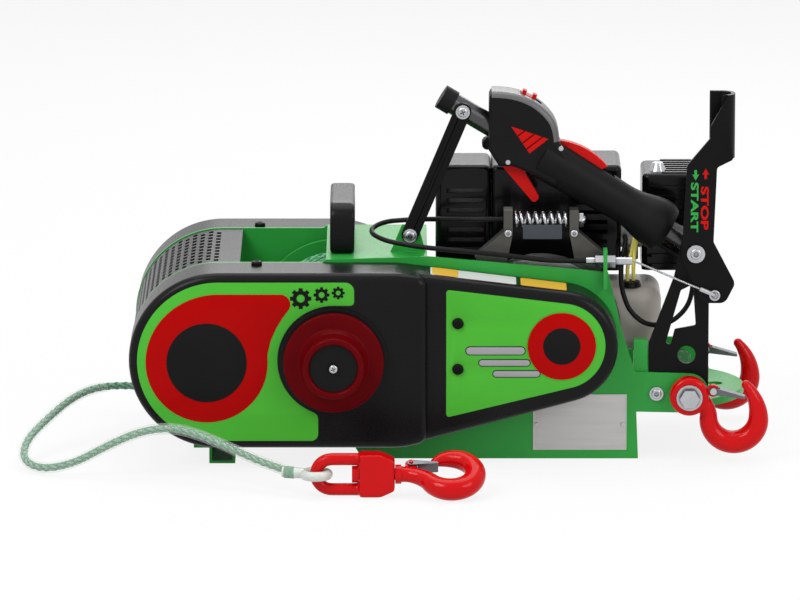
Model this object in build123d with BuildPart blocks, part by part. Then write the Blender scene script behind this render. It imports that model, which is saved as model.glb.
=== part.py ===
from build123d import *
import os
from math import acos, asin, atan2, cos, floor, pi, radians, sin, sqrt, tan

# Portable petrol rope winch, in millimetres. X runs from the rope outlet to the anchor hooks,
# Y runs from the gear cover to the starter, Z is up and the floor is z = 0.

# Frame: two green side plates joined by a deck, a rope guard, a foot, a tie bar and a tow plate
inside_width = 170.0
plate_gauge = 3.0
nose_x = -233.0
nose_z = 112.0
nose_radius = 89.0
frame_tail_x = 187.0
deck_front_x = -126.0
deck_rear_x = -25.0
deck_top_z = 204.0
plate_rear_top = (156.0, 191.0)
arm_low_z = 48.0
arm_high_z = 89.0
arm_end_radius = 20.0
guard_gauge = 2.0
guard_gap = 1.0
guard_slot = (9.0, 4.6)
guard_rows = 21
guard_columns = 10
foot_x = -230.0
foot_width = 26.0
foot_length = 220.0
foot_gauge = 3.0
foot_ledge = 17.0
tie_bar_radius = 7.0
tie_bar_x = -276.0
tow_gauge = 8.0
tow_clear = 1.0
tow_end_x = 296.0
tow_eye_x = 267.0
tow_eye_radius = 7.5

# Covers over the gear train and over the far drum bearing
cover_wall = 3.0
cover_depth = 58.0
cover_step = 9.0
cover_round = 8.0
cover_corner_x = -60.0
cover_tail_radius = 57.0
cover_tail_x = 108.0
cover_tail_z = 124.0
step_x = -25.0
step_round = 12.0
knob_port_radius = 15.0
port_ring_radius = 54.0
port_ring_height = 3.0
screw_head_radius = 5.0
screw_head_height = 3.0

# Rope drum, its shaft and the rope wound on it
drum_x = -118.0
drum_z = 113.0
drum_core_radius = 35.0
drum_flange_radius = 78.0
drum_flange_gauge = 4.0
drum_width = 158.0
shaft_radius = 12.5
rope_diameter = 8.0
rope_turn_gap = 0.6
rope_pack_radius = 60.0
winding_margin = 10.0

# Gear train: drum wheel, two cluster gears and the input pinion on one line
gear_module = 2.5
pressure_angle = radians(20.0)
tooth_backlash = 0.45
drum_teeth = 64
cluster_pinion_teeth = 12
cluster_b_teeth = 36
cluster_a_teeth = 30
input_teeth = 12
train_rise = 12.0
wheel_face = 10.0
layer_pitch = 14.0
gear_pin_radius = 7.0
input_shaft_radius = 8.0

# Handle tube
tube_y = -40.0
tube_radius = 11.0
tube_wall = 2.0

# Fits
running_fit = 0.05
seat_gap = 0.3

near_face = -inside_width / 2
far_face = inside_width / 2
near_outer = near_face - plate_gauge
far_outer = far_face + plate_gauge
cover_front = near_outer - cover_depth


def across(y):
    # Drawing plane at depth y: its first axis is X, its second is Z, and it faces the near side
    return Plane.XZ.offset(-y)


def save(piece, name):
    piece.part.label = name
    export_step(piece.part, f"parts/{name}.step")


def folded(points, gauge):
    # Outline of a bent strip of one gauge along a centre line, mitred at its folds
    path = [Vector(*point) for point in points]
    runs = [(b - a).normalized() for a, b in zip(path, path[1:])]
    sides = [Vector(-run.Y, run.X) for run in runs]
    upper, lower = [], []
    for index, point in enumerate(path):
        first = sides[max(index - 1, 0)]
        second = sides[min(index, len(sides) - 1)]
        mitre = (first + second).normalized()
        shift = mitre * (gauge / 2 / mitre.dot(first))
        upper.append(point + shift)
        lower.append(point - shift)
    return [(p.X, p.Y) for p in upper + lower[::-1]]


def disc_along_y(centre, radius, y_far, length, mode=Mode.ADD):
    # Round bar, boss or hole along Y that runs from y_far towards the near side
    with BuildSketch(across(y_far)) as disc:
        with Locations(centre):
            Circle(radius)
    extrude(disc.sketch, amount=length, mode=mode)


os.makedirs("parts", exist_ok=True)

# Gear axes: all four lie on one straight line that rises from the drum to the engine
pitch_b = gear_module * (drum_teeth + cluster_pinion_teeth) / 2
pitch_a = pitch_b + gear_module * (cluster_b_teeth + cluster_pinion_teeth) / 2
pitch_in = pitch_a + gear_module * (cluster_a_teeth + input_teeth) / 2
train_angle = asin(train_rise / pitch_in)


def on_train(distance):
    return (drum_x + distance * cos(train_angle), drum_z + distance * sin(train_angle))


drum_axis = (drum_x, drum_z)
axis_b = on_train(pitch_b)
axis_a = on_train(pitch_a)
input_axis = on_train(pitch_in)
hook_pin = (237.5, 67.0)
hook_pin_radius = 8.0
lever_pivot = (243.4, 211.0)
lever_pin_radius = 5.0
tow_z = hook_pin[1] - hook_pin_radius - tow_clear - tow_gauge

# Both side plates share the nose, the drum bay and the tail arm that carries a hook pin
nose_bottom_z = nose_z - nose_radius
plate_screw = (205.0, 67.0)
plate_screw_radius = 4.0
bearing_radius = 24.0
sill_z = 46.0


def plate_outline(rear_edge):
    # Closed outline from the underside, round the arm, over rear_edge and round the nose
    arm_top = (hook_pin[0], hook_pin[1] + arm_end_radius)
    arm_tip = (hook_pin[0] + arm_end_radius, hook_pin[1])
    arm_bottom = (hook_pin[0], hook_pin[1] - arm_end_radius)
    nose_top = (nose_x, nose_z + nose_radius)
    nose_front = (nose_x - nose_radius, nose_z)
    nose_bottom = (nose_x, nose_bottom_z)
    Polyline(nose_bottom, (-104, nose_bottom_z), (-90, 0), (frame_tail_x, 0), (185, arm_low_z), arm_bottom)
    ThreePointArc(arm_bottom, arm_tip, arm_top)
    Polyline(arm_top, *rear_edge, nose_top)
    ThreePointArc(nose_top, nose_front, nose_bottom)


# The near plate also has a cross tab at its upper rear corner for the brake cable adjuster
cable_tab_x = 151.0
cable_tab_gauge = 4.0
cable_stand_off = 5.0
cable_y = near_face - cable_stand_off
cable_z = 203.0
adjuster_radius = 4.0
near_rear_edge = [(184, arm_high_z), (178, 106), (170, 132), plate_rear_top]
near_rear_edge += [(deck_rear_x, deck_top_z + 3), (deck_front_x, deck_top_z)]
near_rear_edge += [(deck_front_x - 4, nose_z + nose_radius)]
with BuildPart() as near_side_plate:
    with BuildSketch(across(near_face)):
        with BuildLine():
            plate_outline(near_rear_edge)
        make_face()
        with Locations(drum_axis, input_axis):
            Circle(bearing_radius, mode=Mode.SUBTRACT)
        with Locations(axis_a, axis_b):
            Circle(gear_pin_radius, mode=Mode.SUBTRACT)
        with Locations(hook_pin):
            Circle(hook_pin_radius, mode=Mode.SUBTRACT)
        with Locations(plate_screw):
            Circle(plate_screw_radius, mode=Mode.SUBTRACT)
    extrude(amount=plate_gauge)
    with BuildSketch(Plane.YZ.offset(cable_tab_x)):
        with Locations((near_outer - 2, cable_z - 8)):
            Rectangle(16, 40)
        with Locations((cable_y, cable_z)):
            Circle(adjuster_radius + running_fit, mode=Mode.SUBTRACT)
    extrude(amount=cable_tab_gauge)
save(near_side_plate, "near_side_plate")

far_rear_edge = [(184, arm_high_z), (176, sill_z), (-20, sill_z), (-24, nose_z + 40)]
far_rear_edge += [(deck_rear_x, deck_top_z), (deck_front_x, deck_top_z)]
far_rear_edge += [(deck_front_x - 4, nose_z + nose_radius)]
with BuildPart() as far_side_plate:
    with BuildSketch(across(far_outer)):
        with BuildLine():
            plate_outline(far_rear_edge)
        make_face()
        with Locations(drum_axis):
            Circle(bearing_radius, mode=Mode.SUBTRACT)
        with Locations(hook_pin):
            Circle(hook_pin_radius, mode=Mode.SUBTRACT)
        with Locations(plate_screw):
            Circle(plate_screw_radius, mode=Mode.SUBTRACT)
    extrude(amount=plate_gauge)
save(far_side_plate, "far_side_plate")

# Deck between the plates behind the drum window, with a turned-down lip at each end and the
# upright tab that holds the foot of the handle strut
deck_front_lip = 8.0
deck_rear_lip = 22.0
tab_gauge = 3.0
tab_y = tube_y - tube_radius + tab_gauge
tab_hole = (-42.0, 222.0)
tab_hole_radius = 4.0
with BuildPart() as top_deck:
    deck_z = deck_top_z - plate_gauge / 2
    with BuildSketch(across(far_face)):
        with BuildLine():
            Polyline(
                *folded(
                    [
                        (deck_front_x + plate_gauge / 2, deck_z - deck_front_lip),
                        (deck_front_x + plate_gauge / 2, deck_z),
                        (deck_rear_x - plate_gauge / 2, deck_z),
                        (deck_rear_x - plate_gauge / 2, deck_z - deck_rear_lip),
                    ],
                    plate_gauge,
                ),
                close=True,
            )
        make_face()
    extrude(amount=inside_width)
    with BuildSketch(across(tab_y)):
        with BuildLine():
            Polyline((-62, deck_top_z - 1), (-26, deck_top_z - 1), (-34, 232), (-50, 232), close=True)
        make_face()
        with Locations(tab_hole):
            Circle(tab_hole_radius, mode=Mode.SUBTRACT)
    extrude(amount=tab_gauge)
save(top_deck, "top_deck")

# Perforated sheet that wraps the nose between the plates, from above the rope outlet to the window
guard_radius = nose_radius - guard_gap - guard_gauge / 2
guard_low = radians(215.0)
guard_high_x = -212.0
guard_fold = 14.0
first_row = radians(92.0)
row_step = radians(5.4)
column_step = 15.0
with BuildPart() as rope_guard:
    with BuildSketch(across(far_face)):
        with BuildLine():
            outer = guard_radius + guard_gauge / 2
            inner = guard_radius - guard_gauge / 2
            low_outer = (nose_x + outer * cos(guard_low), nose_z + outer * sin(guard_low))
            low_inner = (nose_x + inner * cos(guard_low), nose_z + inner * sin(guard_low))
            Line(low_inner, low_outer)
            ThreePointArc(low_outer, (nose_x - outer, nose_z), (nose_x, nose_z + outer))
            Polyline(
                (nose_x, nose_z + outer),
                (guard_high_x, nose_z + outer),
                (guard_high_x - guard_fold / 3, nose_z + outer - guard_fold),
                (guard_high_x - guard_fold / 3 - guard_gauge, nose_z + outer - guard_fold),
                (guard_high_x - guard_gauge, nose_z + inner),
                (nose_x, nose_z + inner),
            )
            ThreePointArc((nose_x, nose_z + inner), (nose_x - inner, nose_z), low_inner)
        make_face()
    extrude(amount=inside_width)
    for row in range(guard_rows):
        angle = first_row + row * row_step
        outward = Vector(cos(angle), 0, sin(angle))
        middle = Vector(nose_x, 0, nose_z) + outward * guard_radius
        stagger = column_step / 2 * (row % 2) - column_step / 4
        with BuildSketch(Plane(middle - outward * 4, x_dir=(0, 1, 0), z_dir=outward)):
            with Locations((stagger, 0)):
                with GridLocations(column_step, 1, guard_columns, 1):
                    Rectangle(*guard_slot)
        extrude(amount=8, mode=Mode.SUBTRACT)
save(rope_guard, "rope_guard")

# Front foot: a bent channel under the nose with a ledge towards the rope
with BuildPart() as front_foot:
    foot_low = foot_gauge / 2
    foot_high = nose_bottom_z - foot_gauge / 2
    foot_left = foot_x - foot_width / 2 + foot_gauge / 2
    foot_right = foot_x + foot_width / 2 - foot_gauge / 2
    with BuildSketch(across(foot_length / 2)):
        with BuildLine():
            Polyline(
                *folded(
                    [
                        (foot_left - foot_ledge, foot_high - 4),
                        (foot_left, foot_high - 4),
                        (foot_left, foot_low),
                        (foot_right, foot_low),
                        (foot_right, foot_high),
                        (foot_left + foot_gauge, foot_high),
                    ],
                    foot_gauge,
                ),
                close=True,
            )
        make_face()
    extrude(amount=foot_length)
save(front_foot, "front_foot")

# The rope leaves the drum underside on a straight line that clears the winding and meets the outlet
outlet = (-317.0, 54.5)
rope_clear = 1.0
lead_offset = rope_pack_radius + rope_diameter + rope_clear + rope_diameter / 2
to_drum = Vector(drum_x - outlet[0], drum_z - outlet[1])
lead_angle = atan2(to_drum.Y, to_drum.X) - asin(lead_offset / to_drum.length)
lead_length = sqrt(to_drum.length**2 - lead_offset**2)

# Round bar between the plates that carries the rope at the outlet
rope_at_bar = outlet[1] + (tie_bar_x - outlet[0]) * tan(lead_angle)
tie_bar_z = rope_at_bar - rope_diameter / 2 - tie_bar_radius - seat_gap
with BuildPart() as tie_bar:
    disc_along_y((tie_bar_x, tie_bar_z), tie_bar_radius, far_face, inside_width)
save(tie_bar, "tie_bar")

# Tow plate between the two arms, with a round eye, and the upright post welded on it
post_size = (14.0, 12.0)
post_x = 189.0
post_height = 71.0
tow_half = inside_width / 2
tow_taper = 20.0
tow_root_x = 182.0
tow_shoulder_x = 250.0
with BuildPart() as lug_plate:
    with BuildSketch(Plane.XY.offset(tow_z)):
        with BuildLine():
            Polyline(
                (tow_eye_x, tow_half - tow_taper),
                (tow_shoulder_x, tow_half),
                (tow_root_x, tow_half),
                (tow_root_x, -tow_half),
                (tow_shoulder_x, -tow_half),
                (tow_eye_x, tow_taper - tow_half),
            )
            tow_corners = ((tow_eye_x, tow_taper - tow_half), (tow_eye_x, tow_half - tow_taper))
            ThreePointArc(tow_corners[0], (tow_end_x, 0), tow_corners[1])
        make_face()
        with Locations((tow_eye_x, 0)):
            Circle(tow_eye_radius, mode=Mode.SUBTRACT)
    extrude(amount=tow_gauge)
    with BuildSketch(Plane.XY.offset(tow_z)):
        with Locations((post_x, near_face + post_size[1] / 2)):
            Rectangle(*post_size)
    extrude(amount=post_height)
save(lug_plate, "lug_plate")

# Near cover: a rounded shell over the gear train, with a deeper step over the drum gear
cover_tail = (cover_tail_x, cover_tail_z)
cover_shoulder = (cover_corner_x, nose_z)
step_front = cover_front
tail_front = cover_front + cover_step


def cover_profile(shrink):
    # Hull of the nose, the shoulder and the tail circles, drawn in by shrink
    with BuildSketch(Plane.XZ) as profile:
        with Locations((nose_x, nose_z), cover_shoulder):
            Circle(nose_radius - shrink)
        with Locations(cover_tail):
            Circle(cover_tail_radius - shrink)
        make_hull()
    return profile.sketch


def step_profile(shrink):
    # The deeper part of the cover ends in an upright edge with two rounded corners
    with BuildSketch(Plane.XZ) as profile:
        add(cover_profile(shrink))
        with Locations((step_x - shrink + 500, nose_z)):
            Rectangle(1000, 1000, mode=Mode.SUBTRACT)
        fillet(profile.vertices().sort_by(Axis.X)[-2:], step_round)
    return profile.sketch


with BuildPart() as near_cover:
    extrude(cover_profile(0).moved(Location((0, near_outer, 0))), amount=near_outer - tail_front)
    fillet(near_cover.faces().sort_by(Axis.Y)[0].edges(), cover_round)
    extrude(step_profile(0).moved(Location((0, near_outer, 0))), amount=near_outer - step_front)
    fillet(near_cover.faces().sort_by(Axis.Y)[0].edges(), cover_round)
    extrude(
        cover_profile(cover_wall).moved(Location((0, near_outer, 0))),
        amount=near_outer - tail_front - cover_wall,
        mode=Mode.SUBTRACT,
    )
    extrude(
        step_profile(cover_wall).moved(Location((0, near_outer, 0))),
        amount=near_outer - step_front - cover_wall,
        mode=Mode.SUBTRACT,
    )
    disc_along_y(drum_axis, port_ring_radius, step_front, port_ring_height)
    disc_along_y(drum_axis, knob_port_radius, near_outer, cover_depth + port_ring_height, Mode.SUBTRACT)
save(near_cover, "near_cover")

# Far cover: a plain obround shell over the far drum bearing
far_cover_inset = 1.0
far_cover_radius = nose_radius - far_cover_inset
with BuildPart() as far_cover:
    shell_steps = ((0, cover_depth, Mode.ADD), (cover_wall, cover_depth - cover_wall, Mode.SUBTRACT))
    for shrink, depth, mode in shell_steps:
        with BuildSketch(Plane.XZ.offset(-far_outer - depth)):
            with Locations((nose_x, nose_z), (drum_x, nose_z)):
                Circle(far_cover_radius - shrink)
            make_hull()
        extrude(amount=depth, mode=mode)
        if mode == Mode.ADD:
            fillet(far_cover.faces().sort_by(Axis.Y)[-1].edges(), cover_round)
save(far_cover, "far_cover")

# Carry handle: a flat strap bent into a bridge across the deck
strap_width = 26.0
strap_gauge = 6.0
strap_x = -110.0
strap_half_span = 62.0
strap_top_z = 255.0
strap_bend = 14.0
strap_foot = 16.0
strap_edge = 1.2
with BuildPart() as carry_handle:
    with BuildSketch(Plane.YZ.offset(strap_x - strap_width / 2)):
        with BuildLine():
            strap_low = deck_top_z + strap_gauge / 2
            strap_high = strap_top_z - strap_gauge / 2
            FilletPolyline(
                (-strap_half_span + strap_foot, strap_low),
                (-strap_half_span, strap_low),
                (-strap_half_span, strap_high),
                (strap_half_span, strap_high),
                (strap_half_span, strap_low),
                (strap_half_span - strap_foot, strap_low),
                radius=(strap_gauge / 2 + 1, strap_bend, strap_bend, strap_gauge / 2 + 1),
            )
            offset(amount=strap_gauge / 2, side=Side.BOTH)
        make_face()
    extrude(amount=strap_width)
    fillet(carry_handle.faces().filter_by(Axis.X).edges(), strap_edge)
save(carry_handle, "carry_handle")

# Drum and its shaft
drum_half = drum_width / 2
shaft_near = near_outer - 36.0
shaft_far = far_outer + 14.0
with BuildPart() as drum:
    disc_along_y(drum_axis, drum_core_radius, drum_half, drum_width)
    disc_along_y(drum_axis, drum_flange_radius, drum_half, drum_flange_gauge)
    disc_along_y(drum_axis, drum_flange_radius, -drum_half + drum_flange_gauge, drum_flange_gauge)
    disc_along_y(drum_axis, shaft_radius + running_fit, drum_half, drum_width, Mode.SUBTRACT)
save(drum, "drum")

with BuildPart() as drum_shaft:
    disc_along_y(drum_axis, shaft_radius, shaft_far, shaft_far - shaft_near)
save(drum_shaft, "drum_shaft")

# Rope on the drum: a plain core and one outer layer of turns in a single helical tube
turn_pitch = rope_diameter + rope_turn_gap
rope_turns = floor((drum_width - 2 * drum_flange_gauge - 2 * winding_margin) / turn_pitch)
turn_lift = 0.1
turn_radius = rope_pack_radius + rope_diameter / 2 + turn_lift
winding_length = rope_turns * turn_pitch


def winding_point(quarter):
    angle = quarter * pi / 2
    depth = winding_length / 2 - quarter / 4 * turn_pitch
    return Vector(drum_x + turn_radius * cos(angle), depth, drum_z + turn_radius * sin(angle))


def winding_heading(quarter):
    angle = quarter * pi / 2
    speed = turn_radius * pi / 2
    return Vector(-speed * sin(angle), -turn_pitch / 4, speed * cos(angle)).normalized()


def biarc(start, start_heading, end, end_heading):
    # Two tangent arcs of equal tangent length between two points with given headings
    chord = end - start
    lean = chord.dot(start_heading + end_heading)
    bend = 2 * (1 - start_heading.dot(end_heading))
    reach = (-lean + sqrt(lean**2 + bend * chord.dot(chord))) / bend
    joint = (start + start_heading * reach + end - end_heading * reach) / 2
    heading = ((end - end_heading * reach) - (start + start_heading * reach)).normalized()
    return [TangentArc(start, joint, tangent=start_heading), TangentArc(joint, end, tangent=heading)]


def least_gap(points, diameter, skip):
    # Smallest clear distance between parts of a tube that lie at least skip points apart
    pairs = ((a, b) for i, a in enumerate(points) for b in points[i + skip:])
    return min((a - b).length for a, b in pairs) - diameter


with BuildPart() as rope_winding:
    with BuildLine():
        lead_in = winding_point(0) - winding_heading(0) * rope_diameter
        Line(lead_in, winding_point(0))
        for quarter in range(rope_turns * 4):
            biarc(
                winding_point(quarter),
                winding_heading(quarter),
                winding_point(quarter + 1),
                winding_heading(quarter + 1),
            )
        end = winding_point(rope_turns * 4)
        Line(end, end + winding_heading(rope_turns * 4) * rope_diameter)
    with BuildSketch(Plane(lead_in, z_dir=winding_heading(0))):
        RegularPolygon(rope_diameter / 2, 8)
    sweep()
    core_length = drum_width - 2 * drum_flange_gauge - 2 * seat_gap
    disc_along_y(drum_axis, rope_pack_radius, core_length / 2, core_length)
    disc_along_y(drum_axis, drum_core_radius + running_fit, core_length / 2, core_length, Mode.SUBTRACT)
save(rope_winding, "rope_winding")
helix_points = [winding_point(step / 6) for step in range(rope_turns * 24)]
print("rope winding: turns", rope_turns, "least gap", round(least_gap(helix_points, rope_diameter, 12), 2))

# Gear teeth: straight-sided stretches between the root, pitch and tip circles of an involute
layer_1_far = near_outer - 4.0
layer_2_far = layer_1_far - layer_pitch
layer_3_far = layer_2_far - layer_pitch


def involute(angle):
    return tan(angle) - angle


def gear_outline(teeth, centre, first_tooth):
    pitch_radius = gear_module * teeth / 2
    base_radius = pitch_radius * cos(pressure_angle)
    half_at_pitch = (pi * gear_module / 2 - tooth_backlash) / 2 / pitch_radius
    radii = (pitch_radius - 1.2 * gear_module, pitch_radius, pitch_radius + 0.9 * gear_module)
    halves = []
    for radius in radii:
        roll = acos(min(1.0, base_radius / radius))
        halves.append(half_at_pitch + involute(pressure_angle) - involute(roll))
    flank = list(zip(radii, halves))
    points = []
    for tooth in range(teeth):
        middle = first_tooth + tooth * 2 * pi / teeth
        for radius, half in flank:
            points.append((radius, middle - half))
        for radius, half in flank[::-1]:
            points.append((radius, middle + half))
    return [(centre[0] + r * cos(a), centre[1] + r * sin(a)) for r, a in points]


def gear_along_y(teeth, centre, first_tooth, y_far, face):
    with BuildSketch(across(y_far)) as wheel:
        with BuildLine():
            Polyline(*gear_outline(teeth, centre, first_tooth), close=True)
        make_face()
    extrude(wheel.sketch, amount=face)


# Each driven gear shows a gap to the tooth of the gear before it, on the line of the axes
facing_back = train_angle + pi
pinion_gap = pi / cluster_pinion_teeth
input_gap = pi / input_teeth
mesh_side_play = 1.0
pinion_face = wheel_face
pinion_length = pinion_face + mesh_side_play

# Drum gear: free on the shaft, with four slots for the dog clutch
dog_count = 4
dog_ring_radius = 30.0
dog_circle = 22.0
dog_radius = 4.0
dog_depth = 6.0
dog_play = 0.5
web_circle = 52.0
web_holes = 6
web_hole_radius = 13.0
with BuildPart() as drum_gear:
    gear_along_y(drum_teeth, drum_axis, train_angle, layer_1_far, wheel_face)
    disc_along_y(drum_axis, shaft_radius + running_fit, layer_1_far, wheel_face, Mode.SUBTRACT)
    with BuildSketch(across(layer_1_far)):
        with Locations(drum_axis):
            with PolarLocations(web_circle, web_holes):
                Circle(web_hole_radius)
    extrude(amount=wheel_face, mode=Mode.SUBTRACT)
    with BuildSketch(across(layer_1_far)):
        with Locations(drum_axis):
            with PolarLocations(dog_circle, dog_count):
                Circle(dog_radius + dog_play)
    extrude(amount=wheel_face, mode=Mode.SUBTRACT)
save(drum_gear, "drum_gear")

# Cluster gears: a wheel and a pinion in one piece, turning on a fixed pin
hub_radius = 12.0
with BuildPart() as cluster_gear_b:
    gear_along_y(cluster_pinion_teeth, axis_b, facing_back + pinion_gap, layer_1_far, pinion_length)
    gear_along_y(cluster_b_teeth, axis_b, train_angle, layer_2_far, wheel_face)
    disc_along_y(axis_b, hub_radius, layer_1_far - pinion_face, layer_pitch - pinion_face)
    bore_length = layer_1_far - layer_2_far + wheel_face
    disc_along_y(axis_b, gear_pin_radius + running_fit, layer_1_far, bore_length, Mode.SUBTRACT)
save(cluster_gear_b, "cluster_gear_b")

with BuildPart() as cluster_gear_a:
    gear_along_y(cluster_pinion_teeth, axis_a, facing_back + pinion_gap, layer_2_far, pinion_length)
    gear_along_y(cluster_a_teeth, axis_a, train_angle, layer_3_far, wheel_face)
    disc_along_y(axis_a, hub_radius, layer_2_far - pinion_face, layer_pitch - pinion_face)
    disc_along_y(axis_a, hub_radius, layer_1_far, layer_pitch)
    bore_length = layer_1_far - layer_3_far + wheel_face
    disc_along_y(axis_a, gear_pin_radius + running_fit, layer_1_far, bore_length, Mode.SUBTRACT)
save(cluster_gear_a, "cluster_gear_a")

# Input shaft: pinion outside the near plate, brake drum inside it
brake_drum_radius = 78.0
brake_drum_far = -52.0
brake_drum_near = -76.0
shaft_in_far = -44.0
drum_rim = 7.0
drum_web = 6.0
drum_hub_radius = 20.0
with BuildPart() as input_shaft:
    gear_along_y(input_teeth, input_axis, facing_back + input_gap, layer_3_far, wheel_face)
    disc_along_y(input_axis, input_shaft_radius, shaft_in_far, shaft_in_far - layer_3_far + wheel_face + 2)
    disc_along_y(input_axis, brake_drum_radius, brake_drum_far, brake_drum_far - brake_drum_near)
    with BuildSketch(across(brake_drum_far)):
        with Locations(input_axis):
            Circle(brake_drum_radius - drum_rim)
            Circle(drum_hub_radius, mode=Mode.SUBTRACT)
    extrude(amount=brake_drum_far - brake_drum_near - drum_web, mode=Mode.SUBTRACT)
save(input_shaft, "input_shaft")

# Bearings in the plates and the two pins that the cluster gears turn on
pin_over = 4.0
with BuildPart() as gear_bearings:
    for y_far in (far_outer, near_face):
        disc_along_y(drum_axis, bearing_radius - running_fit, y_far, plate_gauge)
        disc_along_y(drum_axis, shaft_radius + running_fit, y_far, plate_gauge, Mode.SUBTRACT)
    disc_along_y(input_axis, bearing_radius - running_fit, near_face, plate_gauge)
    disc_along_y(input_axis, input_shaft_radius + running_fit, near_face, plate_gauge, Mode.SUBTRACT)
    pin_radius = gear_pin_radius - running_fit
    disc_along_y(axis_b, pin_radius, near_face, near_face - layer_2_far + wheel_face + pin_over)
    disc_along_y(axis_a, pin_radius, near_face, near_face - tail_front - cover_wall)
save(gear_bearings, "gear_bearings")

# Dog clutch: a sleeve that slides on the shaft end, with its dogs in the drum gear
shaft_end_play = 1.0
sleeve_radius = knob_port_radius - 0.6
dog_ring_far = layer_1_far - wheel_face - 0.6
dog_ring_gauge = 6.0
sleeve_near = cover_front - port_ring_height - 1.0
with BuildPart() as dog_clutch:
    disc_along_y(drum_axis, dog_ring_radius, dog_ring_far, dog_ring_gauge)
    disc_along_y(drum_axis, sleeve_radius, dog_ring_far, dog_ring_far - sleeve_near)
    shaft_seat = dog_ring_far - shaft_near + shaft_end_play
    disc_along_y(drum_axis, shaft_radius + running_fit, dog_ring_far, shaft_seat, Mode.SUBTRACT)
    with BuildSketch(across(dog_ring_far + dog_depth)):
        with Locations(drum_axis):
            with PolarLocations(dog_circle, dog_count):
                Circle(dog_radius)
    extrude(amount=dog_depth + 1)
save(dog_clutch, "dog_clutch")

# Release knob: a wide dished disc with a rounded boss, and a black insert in the boss
knob_disc_radius = 50.0
knob_disc_gauge = 9.0
knob_boss_radius = 31.0
knob_reach = 36.0
knob_cup_radius = 24.0
knob_cup_depth = 8.0
with BuildPart() as release_knob:
    with BuildSketch(Plane((drum_x, sleeve_near, drum_z), x_dir=(1, 0, 0), z_dir=(0, 0, 1))) as half_knob:
        with BuildLine():
            Polyline(
                (0, 0),
                (knob_disc_radius, 0),
                (knob_disc_radius, -knob_disc_gauge),
                (knob_boss_radius + 4, -knob_disc_gauge),
                (knob_boss_radius, -knob_disc_gauge - 6),
                (knob_boss_radius, -knob_reach),
                (knob_cup_radius, -knob_reach),
                (knob_cup_radius, -knob_reach + knob_cup_depth),
                (0, -knob_reach + knob_cup_depth),
                close=True,
            )
        make_face()
        rounded = half_knob.vertices().filter_by(lambda v: v.X - drum_x > knob_cup_radius - 1)
        fillet(rounded.sort_by(Axis.Y)[-2:-1] + rounded.sort_by(Axis.Y)[0:2], 3)
    revolve(axis=Axis((drum_x, 0, drum_z), (0, 1, 0)))
save(release_knob, "release_knob")

with BuildPart() as knob_insert:
    cup_floor = sleeve_near - knob_reach + knob_cup_depth
    disc_along_y(drum_axis, knob_cup_radius - seat_gap, cup_floor, 4.0)
    disc_along_y(drum_axis, 5.0, cup_floor - 4.0, 2.5)
    fillet(knob_insert.faces().sort_by(Axis.Y)[0].edges(), 1.0)
save(knob_insert, "knob_insert")

# Band brake round the brake drum: two half bands on one anchor pin, drawn together by the cable
# against a spring, so the lever's stop position holds them close to the drum
band_gap = 0.5
band_gauge = 2.5
band_inner = brake_drum_radius + band_gap
band_outer = band_inner + band_gauge
band_end = radians(65.0)
anchor_radius = 5.0
anchor_eye_radius = 9.0
anchor = (input_axis[0], input_axis[1] - band_outer - 4.0)
clevis_z = 240.0
clevis_x = 33.0
clevis_size = (9.0, 22.0)
clevis_width = 20.0
band_middle_y = (brake_drum_far + brake_drum_near) / 2
band_half = (brake_drum_far - brake_drum_near) / 2
arm_y_gap = 1.0
spring_diameter = 17.0
spring_wire = 3.5
spring_turns = 7


def ring_point(radius, angle, side):
    return (input_axis[0] + side * radius * cos(angle), input_axis[1] + radius * sin(angle))


def brake_arm(side, eye_far, eye_near):
    # Half band from the anchor eye round one side of the drum, a gusset and an upright clevis block
    with BuildSketch(across(brake_drum_far)) as band:
        with BuildLine():
            low = radians(-84.0)
            middle = radians(0.0)
            ThreePointArc(*[ring_point(band_outer, a, side) for a in (low, middle, band_end)])
            ThreePointArc(*[ring_point(band_inner, a, side) for a in (low, middle, band_end)])
            for angle in (low, band_end):
                Line(ring_point(band_inner, angle, side), ring_point(band_outer, angle, side))
        make_face()
    extrude(band.sketch, amount=2 * band_half)
    block_x = input_axis[0] + side * clevis_x
    with BuildSketch(across(band_middle_y + clevis_width / 2)) as gusset:
        with BuildLine():
            Polyline(
                ring_point(band_outer - 0.5, band_end, side),
                (block_x - side * clevis_size[0] / 2, clevis_z - clevis_size[1] / 2 - 3),
                (block_x - side * clevis_size[0] / 2, clevis_z + clevis_size[1] / 2),
                (block_x + side * clevis_size[0] / 2, clevis_z + clevis_size[1] / 2),
                (block_x + side * clevis_size[0] / 2, clevis_z - clevis_size[1] / 2),
                ring_point(band_outer + 22, radians(50.0), side),
                ring_point(band_outer - 0.5, radians(45.0), side),
                close=True,
            )
        make_face()
    extrude(gusset.sketch, amount=clevis_width)
    with BuildSketch(across(eye_far)) as eye:
        with Locations(anchor):
            Circle(anchor_eye_radius)
        with Locations(ring_point((band_inner + band_outer) / 2, radians(-80.0), side)):
            Rectangle(14, band_gauge)
    extrude(eye.sketch, amount=eye_far - eye_near)
    disc_along_y(anchor, anchor_radius + running_fit, eye_far, eye_far - eye_near, Mode.SUBTRACT)
    disc_along_y(input_axis, band_inner, brake_drum_far, 2 * band_half, Mode.SUBTRACT)


with BuildPart() as left_brake_arm:
    brake_arm(-1, brake_drum_far, band_middle_y + arm_y_gap / 2)
save(left_brake_arm, "left_brake_arm")

with BuildPart() as right_brake_arm:
    brake_arm(1, band_middle_y - arm_y_gap / 2, brake_drum_near)
save(right_brake_arm, "right_brake_arm")

# Compression spring between the clevis blocks, one wire wound as a helix along X
spring_radius = (spring_diameter - spring_wire) / 2
spring_left = input_axis[0] - clevis_x + clevis_size[0] / 2 + seat_gap
spring_right = input_axis[0] + clevis_x - clevis_size[0] / 2 - seat_gap
coil_left = spring_left + spring_wire / 2
coil_length = spring_right - spring_left - spring_wire


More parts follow.
